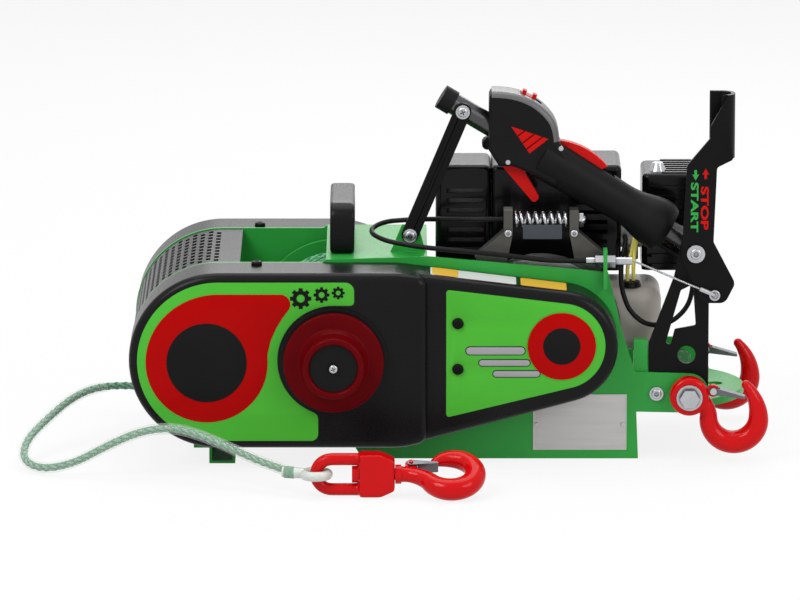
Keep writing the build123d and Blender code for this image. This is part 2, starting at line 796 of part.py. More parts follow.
def spring_point(half):
    angle = half * pi
    along = coil_left + coil_length * half / (2 * spring_turns)
    return Vector(along, band_middle_y + spring_radius * cos(angle), clevis_z + spring_radius * sin(angle))


def spring_heading(half):
    angle = half * pi
    rise = coil_length / (2 * spring_turns)
    return Vector(rise, -spring_radius * pi * sin(angle), spring_radius * pi * cos(angle)).normalized()


with BuildPart() as brake_spring:
    with BuildLine():
        for half in range(spring_turns * 4):
            step = half / 2
            biarc(
                spring_point(step),
                spring_heading(step),
                spring_point(step + 0.5),
                spring_heading(step + 0.5),
            )
    with BuildSketch(Plane(spring_point(0), z_dir=spring_heading(0))):
        Circle(spring_wire / 2)
    sweep()
save(brake_spring, "brake_spring")
spring_points = [spring_point(step / 12) for step in range(spring_turns * 24)]
print("brake spring: turns", spring_turns, "least gap", round(least_gap(spring_points, spring_wire, 12), 2))

# Tray between the side plates that the engine stands on
tray_z = 24.0
tray_gauge = 4.0
tray_x = (30.0, 166.0)
with BuildPart() as engine_tray:
    with BuildSketch(Plane.XY.offset(tray_z)):
        with Locations(((tray_x[0] + tray_x[1]) / 2, 0)):
            Rectangle(tray_x[1] - tray_x[0], inside_width)
        with Locations(((tray_x[0] + tray_x[1]) / 2, 20)):
            Rectangle(60, 50, mode=Mode.SUBTRACT)
    extrude(amount=tray_gauge)
save(engine_tray, "engine_tray")

# Engine block: crankcase on two feet, with a finned cylinder above it
crank_half_width = 46.0
crank_near = -40.0
crank_far = 78.0
crank_top = 172.0
crank_bottom = 70.0
shaft_boss_radius = 26.0
cylinder_radius = 30.0
cylinder_y = 32.0
cylinder_top = 268.0
fin_count = 7
fin_pitch = 11.0
fin_gauge = 3.0
fin_size = (84.0, 72.0)
foot_bar = (14.0, 92.0)
crank_x = input_axis[0]
with BuildPart() as engine_block:
    with BuildSketch(Plane.XY.offset(crank_bottom)):
        with Locations((crank_x, (crank_near + crank_far) / 2)):
            RectangleRounded(2 * crank_half_width, crank_far - crank_near, 10)
    extrude(amount=crank_top - crank_bottom)
    disc_along_y(input_axis, shaft_boss_radius, crank_near, -crank_near + shaft_in_far + 2)
    with BuildSketch(Plane.XY.offset(tray_z + tray_gauge)):
        with Locations((crank_x - 36, 10), (crank_x + 36, 10)):
            Rectangle(*foot_bar)
    extrude(amount=crank_bottom - tray_z - tray_gauge)
    with BuildSketch(Plane.XY.offset(crank_top)):
        with Locations((crank_x, cylinder_y)):
            Circle(cylinder_radius)
    extrude(amount=cylinder_top - crank_top)
    for fin in range(fin_count):
        with BuildSketch(Plane.XY.offset(crank_top + 12 + fin * fin_pitch)):
            with Locations((crank_x, cylinder_y)):
                RectangleRounded(*fin_size, 8)
        extrude(amount=fin_gauge)
save(engine_block, "engine_block")

# Black shroud over the cylinder, open below
shroud_x = (40.0, 171.0)
shroud_y = (-8.0, crank_far - seat_gap)
shroud_top = 284.0
shroud_low = 176.0
shroud_wall = 2.5
engine_round = 6.0


def rounded_hood(hood, x_range, y_range, low, high):
    # Hollow box with rounded corners and top edge, open below
    middle = ((x_range[0] + x_range[1]) / 2, (y_range[0] + y_range[1]) / 2)
    size = (x_range[1] - x_range[0], y_range[1] - y_range[0])
    with BuildSketch(Plane.XY.offset(low)) as outside:
        with Locations(middle):
            RectangleRounded(*size, engine_round)
    extrude(outside.sketch, amount=high - low)
    fillet(hood.faces().sort_by(Axis.Z)[-1].edges(), engine_round)
    with BuildSketch(Plane.XY.offset(low)) as inside:
        with Locations(middle):
            inner_size = [side - 2 * shroud_wall for side in size]
            RectangleRounded(*inner_size, engine_round - shroud_wall)
    extrude(inside.sketch, amount=high - low - shroud_wall, mode=Mode.SUBTRACT)


with BuildPart() as cylinder_shroud:
    rounded_hood(cylinder_shroud, shroud_x, shroud_y, shroud_low, shroud_top)
    with BuildSketch(Plane.XZ.offset(-shroud_y[0] - 3)):
        with Locations((140, 236)):
            with GridLocations(1, 10, 1, 7):
                Rectangle(34, 4)
    extrude(amount=8, mode=Mode.SUBTRACT)
save(cylinder_shroud, "cylinder_shroud")

# Muffler box against the shroud and the louvred guard over it
guard_x = (-16.0, shroud_x[0] - seat_gap)
muffler_y = (-8.0, 64.0)
muffler_low = 186.0
muffler_clear = 7.0
louvre_pitch = 10.0
louvre_count = 7
with BuildPart() as muffler:
    with BuildSketch(Plane.XY.offset(muffler_low + 4)):
        with Locations(((guard_x[0] + shroud_x[0]) / 2 + muffler_clear / 2, sum(muffler_y) / 2)):
            RectangleRounded(shroud_x[0] - guard_x[0] - muffler_clear - 2 * seat_gap, 56, 8)
    extrude(amount=86)
    fillet(muffler.faces().sort_by(Axis.Z)[-1].edges(), 5)
save(muffler, "muffler")

with BuildPart() as muffler_guard:
    rounded_hood(muffler_guard, guard_x, muffler_y, muffler_low, shroud_top)
    with BuildSketch(Plane.XZ.offset(-muffler_y[0] - 4)):
        with Locations((14, muffler_low + 42)):
            with GridLocations(1, louvre_pitch, 1, louvre_count):
                Rectangle(38, 4.5)
    extrude(amount=8, mode=Mode.SUBTRACT)
    with BuildSketch(Plane.YZ.offset(guard_x[0] - 1)):
        with Locations((sum(muffler_y) / 2, muffler_low + 42)):
            with GridLocations(1, louvre_pitch, 1, louvre_count):
                Rectangle(54, 4.5)
    extrude(amount=6, mode=Mode.SUBTRACT)
    with BuildSketch(Plane.YZ.offset(guard_x[1] - 4)):
        with Locations((sum(muffler_y) / 2, muffler_low + 40)):
            Rectangle(64, 100)
    extrude(amount=6, mode=Mode.SUBTRACT)
save(muffler_guard, "muffler_guard")

# Air filter box with cooling ribs, and the carburettor between it and the shroud
filter_x = (192.0, 246.0)
filter_y = (-6.0, 70.0)
filter_low = 176.0
filter_top = 275.0
rib_count = 9
rib_pitch = 10.0
rib_reach = 3.0
with BuildPart() as air_filter_box:
    with BuildSketch(Plane.XY.offset(filter_low)):
        with Locations((sum(filter_x) / 2, sum(filter_y) / 2)):
            RectangleRounded(filter_x[1] - filter_x[0], filter_y[1] - filter_y[0], 7)
    extrude(amount=filter_top - filter_low)
    fillet(air_filter_box.faces().sort_by(Axis.Z)[-1].edges(), 5)
    for rib in range(rib_count):
        with BuildSketch(Plane.XY.offset(filter_low + 4 + rib * rib_pitch)):
            with Locations((sum(filter_x) / 2 + 4, sum(filter_y) / 2)):
                rib_size = (filter_x[1] - filter_x[0], filter_y[1] - filter_y[0] + 2 * rib_reach)
                RectangleRounded(*rib_size, 8)
        extrude(amount=3)
save(air_filter_box, "air_filter_box")

with BuildPart() as carburettor:
    with BuildSketch(Plane.YZ.offset(shroud_x[1] + seat_gap)):
        with Locations((34, 216)):
            RectangleRounded(36, 44, 6)
    extrude(amount=filter_x[0] - shroud_x[1] - 2 * seat_gap)
    with BuildSketch(Plane.XY.offset(180)):
        with Locations(((shroud_x[1] + filter_x[0]) / 2, 34)):
            Circle(8)
    extrude(amount=16)
save(carburettor, "carburettor")

# Cream fuel tank beside the crankcase, with a rubber grommet on its shoulder
tank_x = (crank_x + crank_half_width + seat_gap, 211.0)
tank_y = (-46.0, 40.0)
tank_low = 100.0
tank_high = 165.0
tank_round = 14.0
grommet = (180.0, -30.0)
grommet_radius = 11.0
grommet_height = 5.0
with BuildPart() as fuel_tank:
    with BuildSketch(Plane.XY.offset(tank_low)):
        with Locations((sum(tank_x) / 2, sum(tank_y) / 2)):
            RectangleRounded(tank_x[1] - tank_x[0], tank_y[1] - tank_y[0], 16)
    extrude(amount=tank_high - tank_low)
    fillet(fuel_tank.faces().filter_by(Axis.Z).edges(), tank_round)
save(fuel_tank, "fuel_tank")

with BuildPart() as tank_grommet:
    with BuildSketch(Plane.XY.offset(tank_high)):
        with Locations(grommet):
            Circle(grommet_radius)
    extrude(amount=grommet_height, taper=20)
save(tank_grommet, "tank_grommet")

# Recoil starter: fan housing round the crank axis, domed at the back, and its pull grip
fan_radius = 74.0
fan_length = 72.0
dome_radius = 62.0
starter_back = 186.0
starter_wall = 3.0
dome_slope = (16.0, 12.0)
starter_vents = 16
vent_circle = 30.0
vent_slot = (20.0, 5.0)
with BuildPart() as recoil_starter:
    with BuildSketch(Plane((crank_x, 0, input_axis[1]), x_dir=(1, 0, 0), z_dir=(0, 0, 1))):
        with BuildLine():
            Polyline(
                (0, crank_far),
                (fan_radius, crank_far),
                (fan_radius, crank_far + fan_length),
                (dome_radius, crank_far + fan_length),
                (dome_radius, starter_back - dome_slope[1]),
                (dome_radius - dome_slope[0], starter_back),
                (0, starter_back),
                close=True,
            )
        make_face()
    revolve(axis=Axis((crank_x, 0, input_axis[1]), (0, 1, 0)))
    with BuildSketch(Plane.XZ.offset(-starter_back - 1)):
        with Locations(input_axis):
            with PolarLocations(vent_circle, starter_vents):
                SlotOverall(*vent_slot)
    extrude(amount=2 * starter_wall, mode=Mode.SUBTRACT)
    hollows = (
        (fan_radius, crank_far + fan_length),
        (dome_radius, starter_back - dome_slope[1]),
        (dome_radius - dome_slope[0], starter_back),
    )
    for outside, back in hollows:
        back_wall = back - starter_wall
        room = back_wall - crank_far - starter_wall
        disc_along_y(input_axis, outside - starter_wall, back_wall, room, Mode.SUBTRACT)
save(recoil_starter, "recoil_starter")

grip_angle = radians(40.0)
grip_radius = 8.0
grip_length = 46.0
grip_stem = 10.0
grip_y = 162.0
grip_out = Vector(cos(grip_angle), 0, sin(grip_angle))
grip_along = Vector(-sin(grip_angle), 0, cos(grip_angle))
grip_seat = Vector(crank_x, grip_y, input_axis[1]) + grip_out * (dome_radius + seat_gap)
with BuildPart() as starter_grip:
    with BuildSketch(Plane(grip_seat, x_dir=grip_along, z_dir=grip_out)):
        Circle(grip_radius - 2)
    extrude(amount=grip_stem)
    with BuildSketch(Plane(grip_seat + grip_out * grip_stem, x_dir=grip_along, z_dir=grip_out)):
        SlotOverall(grip_length, 2 * grip_radius)
    extrude(amount=2 * grip_radius)
    fillet(starter_grip.faces().sort_by(Axis(grip_seat, grip_out))[-1].edges(), 5)
save(starter_grip, "starter_grip")

# Handle tube: runs down from its end cap, through the throttle handle, to the bracket flange
tube_bolt = (10.7, 348.0)
tube_foot = (243.0, 209.0)
tube_run = Vector(tube_foot[0] - tube_bolt[0], 0, tube_foot[1] - tube_bolt[1]).normalized()
tube_up = Vector(-tube_run.Z, 0, tube_run.X)
tube_head_reach = 22.0
bracket_flange_x = 254.0
bracket_gauge = 3.0
small_bolt_radius = 4.0


def on_tube(distance, rise=0.0):
    return Vector(tube_bolt[0], tube_y, tube_bolt[1]) + tube_run * distance + tube_up * rise


flange_reach = (bracket_flange_x - tube_bolt[0]) / tube_run.X
with BuildPart() as handle_tube:
    with BuildSketch(Plane(on_tube(-tube_head_reach), z_dir=tube_run)):
        Circle(tube_radius)
        Circle(tube_radius - tube_wall, mode=Mode.SUBTRACT)
    extrude(amount=flange_reach + tube_head_reach + 20)
    with BuildSketch(Plane.YZ.offset(bracket_flange_x)):
        with Locations((tube_y, tube_foot[1])):
            Rectangle(80, 120)
    extrude(amount=40, mode=Mode.SUBTRACT)
    disc_along_y(tube_bolt, small_bolt_radius, tube_y + 20, 40, Mode.SUBTRACT)
save(handle_tube, "handle_tube")

cap_wall = 1.6
cap_length = 14.0
cap_top = 3.0
with BuildPart() as tube_cap:
    with BuildSketch(Plane(on_tube(-tube_head_reach - cap_top), z_dir=tube_run)):
        Circle(tube_radius + cap_wall)
    extrude(amount=cap_length)
    with BuildSketch(Plane(on_tube(-tube_head_reach), z_dir=tube_run)):
        Circle(tube_radius + running_fit)
    extrude(amount=cap_length, mode=Mode.SUBTRACT)
save(tube_cap, "tube_cap")

# Flat strut from the deck tab up to the tube
strut_half_width = 8.5
strut_gauge = 4.0
strut_far = tube_y - tube_radius
with BuildPart() as strut:
    with BuildSketch(across(strut_far)):
        with Locations(tab_hole, tube_bolt):
            Circle(strut_half_width)
        make_hull()
        with Locations(tab_hole, tube_bolt):
            Circle(small_bolt_radius, mode=Mode.SUBTRACT)
    extrude(amount=strut_gauge)
save(strut, "strut")

# Bracket: upright sheet behind the near arm with a slanted window, and a flange for the tube
bracket_low = tow_z + tow_gauge + 2.0
bracket_top = 224.0
bracket_hole = (235.0, 106.0)
bracket_hole_radius = 9.0
flange_z = (178.0, bracket_top)
flange_depth = 62.0
flange_bolt = (tube_y, on_tube(flange_reach).Z)
with BuildPart() as lever_bracket:
    with BuildSketch(across(near_face + bracket_gauge)):
        with BuildLine():
            FilletPolyline(
                (197, bracket_low),
                (197, 118),
                (222, 186),
                (230, bracket_top),
                (bracket_flange_x + bracket_gauge, bracket_top),
                (bracket_flange_x + bracket_gauge, bracket_low),
                radius=4,
                close=True,
            )
        make_face()
        with BuildLine():
            window = [(214, 118), (229, 172), (241, 178), (244, 136), (223, 132), (219, 116)]
            FilletPolyline(*window, radius=2, close=True)
        make_face(mode=Mode.SUBTRACT)
        with Locations(bracket_hole):
            Circle(bracket_hole_radius, mode=Mode.SUBTRACT)
        with Locations(hook_pin):
            Circle(hook_pin_radius, mode=Mode.SUBTRACT)
        with Locations(plate_screw):
            Circle(plate_screw_radius, mode=Mode.SUBTRACT)
        with Locations(lever_pivot):
            Circle(lever_pin_radius, mode=Mode.SUBTRACT)
    extrude(amount=bracket_gauge)
    with BuildSketch(Plane.YZ.offset(bracket_flange_x)):
        with Locations((near_face + flange_depth / 2, sum(flange_z) / 2)):
            Rectangle(flange_depth, flange_z[1] - flange_z[0])
        with Locations(flange_bolt):
            Circle(small_bolt_radius, mode=Mode.SUBTRACT)
    extrude(amount=bracket_gauge)
save(lever_bracket, "lever_bracket")

# Brake lever: flat blade with a lobe for the cable, cranked to a rolled trough grip at the top
lever_gauge = 4.0
lever_far = near_face - 2.0
lever_near = lever_far - lever_gauge
cable_end = (262.4, 169.0)
cable_eye_radius = 4.0
trough_x = (257.0, 282.0)
trough_low = 306.0
trough_top = 371.0
trough_radius = 13.0
with BuildPart() as brake_lever:
    with BuildSketch(across(lever_far)):
        with BuildLine():
            FilletPolyline(
                (229, 206),
                (250, 160),
                (273, 160),
                (283, 180),
                (261, 222),
                (264, 298),
                (trough_x[1] - 2, trough_low),
                (trough_x[1] - trough_radius, trough_top - 2),
                (trough_x[0] + 2, 330),
                (234, 300),
                (230, 222),
                radius=(9, 9, 9, 8, 8, 4, 3, 3, 6, 6, 8),
                close=True,
            )
        make_face()
        with Locations(lever_pivot):
            Circle(lever_pin_radius + running_fit, mode=Mode.SUBTRACT)
        with Locations(cable_end):
            Circle(cable_eye_radius, mode=Mode.SUBTRACT)
    extrude(amount=lever_gauge)
    with BuildSketch(Plane.XY.offset(trough_low)):
        with BuildLine():
            FilletPolyline(
                (trough_x[0] + 2, lever_far - lever_gauge / 2),
                (trough_x[1] - lever_gauge / 2, lever_far - lever_gauge / 2),
                (trough_x[1] - lever_gauge / 2, lever_far - lever_gauge / 2 + 2 * trough_radius),
                (trough_x[0] + 2, lever_far - lever_gauge / 2 + 2 * trough_radius),
                radius=trough_radius - 1,
            )
            offset(amount=lever_gauge / 2, side=Side.BOTH)
        make_face()
    extrude(amount=trough_top - trough_low)
    with BuildSketch(across(lever_far)):
        with BuildLine():
            Polyline(
                (trough_x[0] - 4, 332),
                (trough_x[1] - 8, trough_top - 1),
                (trough_x[1] - 8, 380),
                (240, 380),
                (240, 332),
                close=True,
            )
        make_face()
    extrude(amount=lever_gauge + 1, mode=Mode.SUBTRACT)
save(brake_lever, "brake_lever")

# Throttle handle: a rounded head and a round grip on the tube, moulded in two halves
head_half_width = 19.0
head_round = 5.0
trigger_pin = (56.0, 297.0)
lockout_pin = (109.0, 311.0)
pivot_radius = 2.5
slot_half_width = 6.0
slider_run = Vector(cos(radians(-24.0)), 0, sin(radians(-24.0)))
slider_up = Vector(-slider_run.Z, 0, slider_run.X)
slider_place = Vector(76.0, tube_y, 360.0)
slider_size = (16.0, 10.0, 6.0)
slider_travel = 6.0
slider_slot_depth = 5.0


def throttle_handle(solid):
    with BuildSketch(across(tube_y + head_half_width)) as head:
        with BuildLine():
            Line((36.5, 309), (37, 360))
            ThreePointArc((37, 360), (39, 366), (45, 368.5))
            ThreePointArc((45, 368.5), (74, 362), (98.5, 343.5))
            ThreePointArc((98.5, 343.5), (104.5, 333), (107, 318))
            jaw = [(107, 318), (118, 300), (104, 272), (81, 284), (61, 292.4), (47, 292.4), (36.5, 309)]
            Polyline(*jaw)
        make_face()
    extrude(head.sketch, amount=2 * head_half_width)
    fillet(solid.faces().filter_by(Axis.Y).edges(), head_round)
    with BuildSketch(Plane(on_tube(0), x_dir=tube_run, z_dir=(0, -1, 0))) as half_grip:
        with BuildLine():
            Spline((92, 22.5), (130, 21.5), (170, 20), (200, 20.5), (218, 25), (234, 25.5))
            Polyline((234, 25.5), (240, 22), (240, 0), (92, 0), (92, 22.5))
        make_face()
    revolve(half_grip.sketch, axis=Axis(on_tube(0), tube_run))
    with BuildSketch(Plane(on_tube(0), z_dir=tube_run)) as bore:
        Circle(tube_radius + running_fit)
    extrude(bore.sketch, amount=260, mode=Mode.SUBTRACT)
    with BuildSketch(across(tube_y + slot_half_width)) as slots:
        with BuildLine():
            Polyline((46, 280), (46, 306), (72, 306), (84, 292), (100, 262), (90, 250), close=True)
        make_face()
        with BuildLine():
            Polyline((100, 316), (110, 330), (168, 292), (162, 277), (126, 291), (104, 302), close=True)
        make_face()
    extrude(slots.sketch, amount=2 * slot_half_width, mode=Mode.SUBTRACT)
    for pin in (trigger_pin, lockout_pin):
        disc_along_y(pin, pivot_radius, tube_y + head_half_width + 4, 2 * head_half_width + 8, Mode.SUBTRACT)
    with BuildSketch(Plane(slider_place, x_dir=slider_run, z_dir=slider_up)) as switch_slot:
        with Locations((slider_travel / 2, 0)):
            Rectangle(slider_size[0] + slider_travel + 2 * seat_gap, slider_size[1] + 2 * seat_gap)
    extrude(switch_slot.sketch, amount=-slider_slot_depth, mode=Mode.SUBTRACT)
    extrude(switch_slot.sketch, amount=20, mode=Mode.SUBTRACT)


for half_name, side in (("near_grip_half", Keep.TOP), ("far_grip_half", Keep.BOTTOM)):
    with BuildPart() as grip_half:
        throttle_handle(grip_half)
        split(bisect_by=across(tube_y), keep=side)
    save(grip_half, half_name)

# Trigger, lock-out lever and stop slider
blade_play = 0.6
blade_half_width = slot_half_width - blade_play
blade_root_x = 62.0
tube_drop = (blade_root_x - tube_bolt[0]) * tube_run.Z / tube_run.X - tube_radius / tube_run.X
blade_top = tube_bolt[1] + tube_drop - 1.5
with BuildPart() as throttle_trigger:
    with BuildSketch(across(tube_y + blade_half_width)):
        with BuildLine():
            blade = [(50, blade_top), (blade_root_x, blade_top), (70, 290), (88, 258), (82, 253), (50, 291)]
            FilletPolyline(*blade, radius=3, close=True)
        make_face()
        with Locations(trigger_pin):
            Circle(pivot_radius + running_fit, mode=Mode.SUBTRACT)
    extrude(amount=2 * blade_half_width)
save(throttle_trigger, "throttle_trigger")

with BuildPart() as lockout_lever:
    with BuildSketch(across(tube_y + blade_half_width)):
        with BuildLine():
            Line((104, 309), (106, 317))
            ThreePointArc((106, 317), (132, 309.5), (156, 290))
            Polyline((156, 290), (150, 287), (126, 298), (112, 305), (104, 309))
        make_face()
        with Locations(lockout_pin):
            Circle(pivot_radius + running_fit, mode=Mode.SUBTRACT)
    extrude(amount=2 * blade_half_width)
save(lockout_lever, "lockout_lever")

with BuildPart() as stop_switch:
    slider_foot = slider_place - slider_up * (slider_slot_depth - seat_gap)
    with BuildSketch(Plane(slider_foot, x_dir=slider_run, z_dir=slider_up)):
        Rectangle(slider_size[0], slider_size[1])
    extrude(amount=slider_slot_depth + slider_size[2] / 3)
    with BuildSketch(Plane(slider_place, x_dir=slider_run, z_dir=slider_up)):
        with GridLocations(slider_size[0] - 5, 1, 2, 1):
            Rectangle(4, slider_size[1])
    extrude(amount=slider_size[2])
save(stop_switch, "stop_switch")

# Forged hooks: a round section that swells round the bowl and thins towards the tip
eye_radius = 19.5
eye_width = 18.0
eye_round = 4.5
hook_play = 2.0
hook_y = far_outer + hook_play + eye_width / 2
bowl_centre = (44.5, -22.5)
bowl_radius = 25.0
neck_point = (13.0, -4.0)
tip_point = (57.0, 11.0)
latch_pivot = (24.0, 5.5)
latch_tip = (55.0, -1.0)
latch_gauge = 2.0
lug_radius = 6.0
lug_half_width = 3.5
rivet_radius = 2.0


def upright_arc(foot, far):
    # Centre and radius of the arc through far that is upright at foot
    rise = far[1] - foot[1]
    run = foot[0] - far[0]
    radius = (run**2 + rise**2) / (2 * run)
    return (foot[0] - radius, foot[1]), radius


def round_point(centre, radius, angle):
    return (centre[0] + radius * cos(angle), centre[1] + radius * sin(angle))


def forged_sweep(plane, arcs, stations):
    # Sweep of round sections of changing radius along planar arcs, each given by three points
    with BuildLine(plane) as spine:
        for arc in arcs:
            ThreePointArc(*arc)
    sections = []
    for place, heading, radius in stations:
        normal = plane.from_local_coords(Vector(*heading)) - plane.origin
        with BuildSketch(Plane(plane.from_local_coords(Vector(*place)), z_dir=normal)) as section:
            Circle(radius)
        sections.append(section.sketch.face())
    sweep(sections=sections, path=spine.wire(), multisection=True)
    with Locations(plane.from_local_coords(Vector(*stations[-1][0]))):
        Sphere(stations[-1][2] + 0.15)


def latch_lug(plane, pivot, half_width):
    # Flat ear for the latch, with a loose hole and the rivet in it
    near = Plane(plane.origin - plane.z_dir * half_width, x_dir=plane.x_dir, z_dir=plane.z_dir)
    with BuildSketch(near) as lug:
        with Locations(pivot):
            Circle(lug_radius)
    extrude(lug.sketch, amount=2 * half_width)
    reach = half_width + latch_gauge + 1.5
    low = Plane(plane.origin - plane.z_dir * reach, x_dir=plane.x_dir, z_dir=plane.z_dir)
    for radius, mode in ((rivet_radius + running_fit, Mode.SUBTRACT), (rivet_radius, Mode.ADD)):
        with BuildSketch(low) as rivet:
            with Locations(pivot):
                Circle(radius)
        extrude(rivet.sketch, amount=2 * reach, mode=mode)


def latch_strip(plane, pivot, tip, half_width):
    # Bent steel latch: two cheeks on the rivet and a tongue that meets the inside of the hook tip
    reach = half_width + latch_gauge + 0.3
    low = Plane(plane.origin - plane.z_dir * reach, x_dir=plane.x_dir, z_dir=plane.z_dir)
    slot = Plane(plane.origin - plane.z_dir * (half_width + 0.3), x_dir=plane.x_dir, z_dir=plane.z_dir)
    with BuildSketch(low) as strip:
        with Locations(pivot):
            Circle(3.8)
        with Locations(tip):
            Circle(1.2)
        make_hull()
        with Locations(pivot):
            Circle(rivet_radius + running_fit, mode=Mode.SUBTRACT)
    extrude(strip.sketch, amount=2 * reach)
    with BuildSketch(slot) as gap:
        with Locations(pivot):
            Circle(lug_radius + 1.0)
    extrude(gap.sketch, amount=2 * (half_width + 0.3), mode=Mode.SUBTRACT)


def anchor_hook(ring, plane):
    left = (bowl_centre[0] - bowl_radius, bowl_centre[1])
    right = (bowl_centre[0] + bowl_radius, bowl_centre[1])
    bottom = (bowl_centre[0], bowl_centre[1] - bowl_radius)
    neck_centre, neck_radius = upright_arc(left, neck_point)
    tip_centre, tip_radius = upright_arc(right, tip_point)
    neck_angle = atan2(neck_point[1] - neck_centre[1], neck_point[0] - neck_centre[0])
    tip_angle = atan2(tip_point[1] - tip_centre[1], tip_point[0] - tip_centre[0])
    arcs = [
        (neck_point, round_point(neck_centre, neck_radius, neck_angle / 2), left),
        (left, bottom, right),
        (right, round_point(tip_centre, tip_radius, tip_angle / 2), tip_point),
    ]
    stations = [
        (neck_point, (sin(neck_angle), -cos(neck_angle)), 7.5),
        (left, (0, -1), 9.0),
        (bottom, (1, 0), 11.5),
        (right, (0, 1), 10.0),
        (tip_point, (-sin(tip_angle), cos(tip_angle)), 4.5),
    ]
    eye_plane = Plane(plane.origin - plane.z_dir * eye_width / 2, x_dir=plane.x_dir, z_dir=plane.z_dir)
    with BuildSketch(eye_plane) as eye:
        Circle(eye_radius)
    extrude(eye.sketch, amount=eye_width)
    fillet(ring.edges().filter_by(GeomType.CIRCLE), eye_round)
    forged_sweep(plane, arcs, stations)
    with BuildSketch(eye_plane) as bore:
        Circle(hook_pin_radius + running_fit)
    extrude(bore.sketch, amount=eye_width, mode=Mode.SUBTRACT)
    latch_lug(plane, latch_pivot, lug_half_width)


for side_name, side in (("near", -1), ("far", 1)):
    hook_plane = Plane((hook_pin[0], side * hook_y, hook_pin[1]), x_dir=(1, 0, 0), z_dir=(0, -1, 0))
    with BuildPart() as hook:
        anchor_hook(hook, hook_plane)
    save(hook, f"{side_name}_hook")
    with BuildPart() as latch:
        latch_strip(hook_plane, latch_pivot, latch_tip, lug_half_width)
    save(latch, f"{side_name}_latch")

# Swivel hook on the rope end: link on edge, hook lying over to the near side
swivel_y = -250.0
swivel_z = 21.8
swivel_x = -54.0
swivel_lean = radians(25.5)
link_bar_radius = 6.3
link_half_height = 15.2
link_end_x = -119.5
boss_x = (-92.0, -57.0)
boss_half_height = 21.5
boss_tail_half = 15.0
boss_width = 24.0
swivel_pin_radius = 6.0
with BuildPart() as swivel_link:
    with BuildLine(Plane.XZ.offset(-swivel_y)):
        top = swivel_z + link_half_height
        low = swivel_z - link_half_height
        Line((boss_x[0] + 6, top), (link_end_x, top))
        ThreePointArc((link_end_x, top), (link_end_x - link_half_height, swivel_z), (link_end_x, low))
        Line((link_end_x, low), (boss_x[0] + 6, low))
    with BuildSketch(Plane((boss_x[0] + 6, swivel_y, top), z_dir=(-1, 0, 0))):
        Circle(link_bar_radius)
    sweep()
    with BuildSketch(across(swivel_y + boss_width / 2)):
        with BuildLine():
            Polyline(
                (boss_x[0], swivel_z + boss_half_height),
                (boss_x[1] - 14, swivel_z + boss_half_height),
                (boss_x[1], swivel_z + boss_tail_half),
                (boss_x[1], swivel_z - boss_tail_half),
                (boss_x[1] - 14, swivel_z - boss_half_height),
                (boss_x[0], swivel_z - boss_half_height),
                close=True,
            )
        make_face()
    extrude(amount=boss_width)
    with BuildSketch(Plane.YZ.offset(boss_x[0])):
        with Locations((swivel_y, swivel_z)):
            Circle(swivel_pin_radius + running_fit)
    extrude(amount=boss_x[1] - boss_x[0], mode=Mode.SUBTRACT)
save(swivel_link, "swivel_link")

swivel_normal = (0, -sin(swivel_lean), cos(swivel_lean))
swivel_plane = Plane((swivel_x, swivel_y, swivel_z), x_dir=(1, 0, 0), z_dir=swivel_normal)
swivel_bowl = (52.0, 0.0)
swivel_bowl_radius = 24.0
swivel_latch_pivot = (13.0, 12.0)
swivel_latch_tip = (38.5, 11.5)
pin_head_radius = 8.3
pin_head_length = 7.0
collar_radius = 9.5
collar_length = 6.0
with BuildPart() as swivel_hook:
    turn = [round_point(swivel_bowl, swivel_bowl_radius, radians(a)) for a in (210, 270, 360, 405, 450, 490)]
    bend_middle = (17.5, -2.6)
    forged_sweep(
        swivel_plane,
        [((2, 0), bend_middle, turn[0]), (turn[0], turn[1], turn[2]), (turn[2], turn[3], turn[5])],
        [
            ((2, 0), (1, 0.1), 8.0),
            (turn[0], (0.5, -0.866), 9.5),
            (turn[1], (1, 0), 11.0),
            (turn[2], (0, 1), 10.5),
            (turn[4], (-1, 0), 8.5),
            (turn[5], (-sin(radians(490)), cos(radians(490))), 4.5),
        ],
    )
    pin_start = boss_x[0] - seat_gap - pin_head_length
    with BuildSketch(Plane((pin_start, swivel_y, swivel_z), z_dir=(1, 0, 0))):
        Circle(pin_head_radius)
    extrude(amount=pin_head_length)
    with BuildSketch(Plane((pin_start, swivel_y, swivel_z), z_dir=(1, 0, 0))):
        Circle(swivel_pin_radius)
    extrude(amount=swivel_x + 4 - pin_start)
    with BuildSketch(Plane((boss_x[1] + seat_gap, swivel_y, swivel_z), z_dir=(1, 0, 0))):
        Circle(collar_radius)
    extrude(amount=collar_length)
    latch_lug(swivel_plane, swivel_latch_pivot, lug_half_width)
save(swivel_hook, "swivel_hook")

with BuildPart() as swivel_latch:
    latch_strip(swivel_plane, swivel_latch_pivot, swivel_latch_tip, lug_half_width)
save(swivel_latch, "swivel_latch")

# Cables and ropes follow straight runs joined by arcs as large as the runs allow


def bend_radii(route):
    radii = []
    points = [Vector(*point) for point in route]
    for before, corner, after in zip(points, points[1:], points[2:]):
        turn = radians((corner - before).get_angle(after - corner))
        shorter = min((corner - before).length, (after - corner).length)
        radii.append(0.45 * shorter / tan(turn / 2))
    return radii


def laid_tube(route, radius, sides=0):
    # Tube of one radius along a route, round or with flat sides
    with BuildLine() as line:
        FilletPolyline(*route, radius=bend_radii(route))
    heading = Vector(*route[1]) - Vector(*route[0])
    with BuildSketch(Plane(route[0], z_dir=heading)) as section:
        if sides:
            RegularPolygon(radius, sides)
        else:
            Circle(radius)
    sweep(section.sketch, path=line.wire())
    return line.wire().length


# Rope from the drum to the outlet, then free over the floor to the swivel hook
with BuildPart() as rope_lead:
    lead_heading = Vector(cos(lead_angle), 0, sin(lead_angle))
    with BuildSketch(Plane((outlet[0], 0, outlet[1]), z_dir=lead_heading)):
        RegularPolygon(rope_diameter / 2, 8)
    extrude(amount=lead_length)
save(rope_lead, "rope_lead")

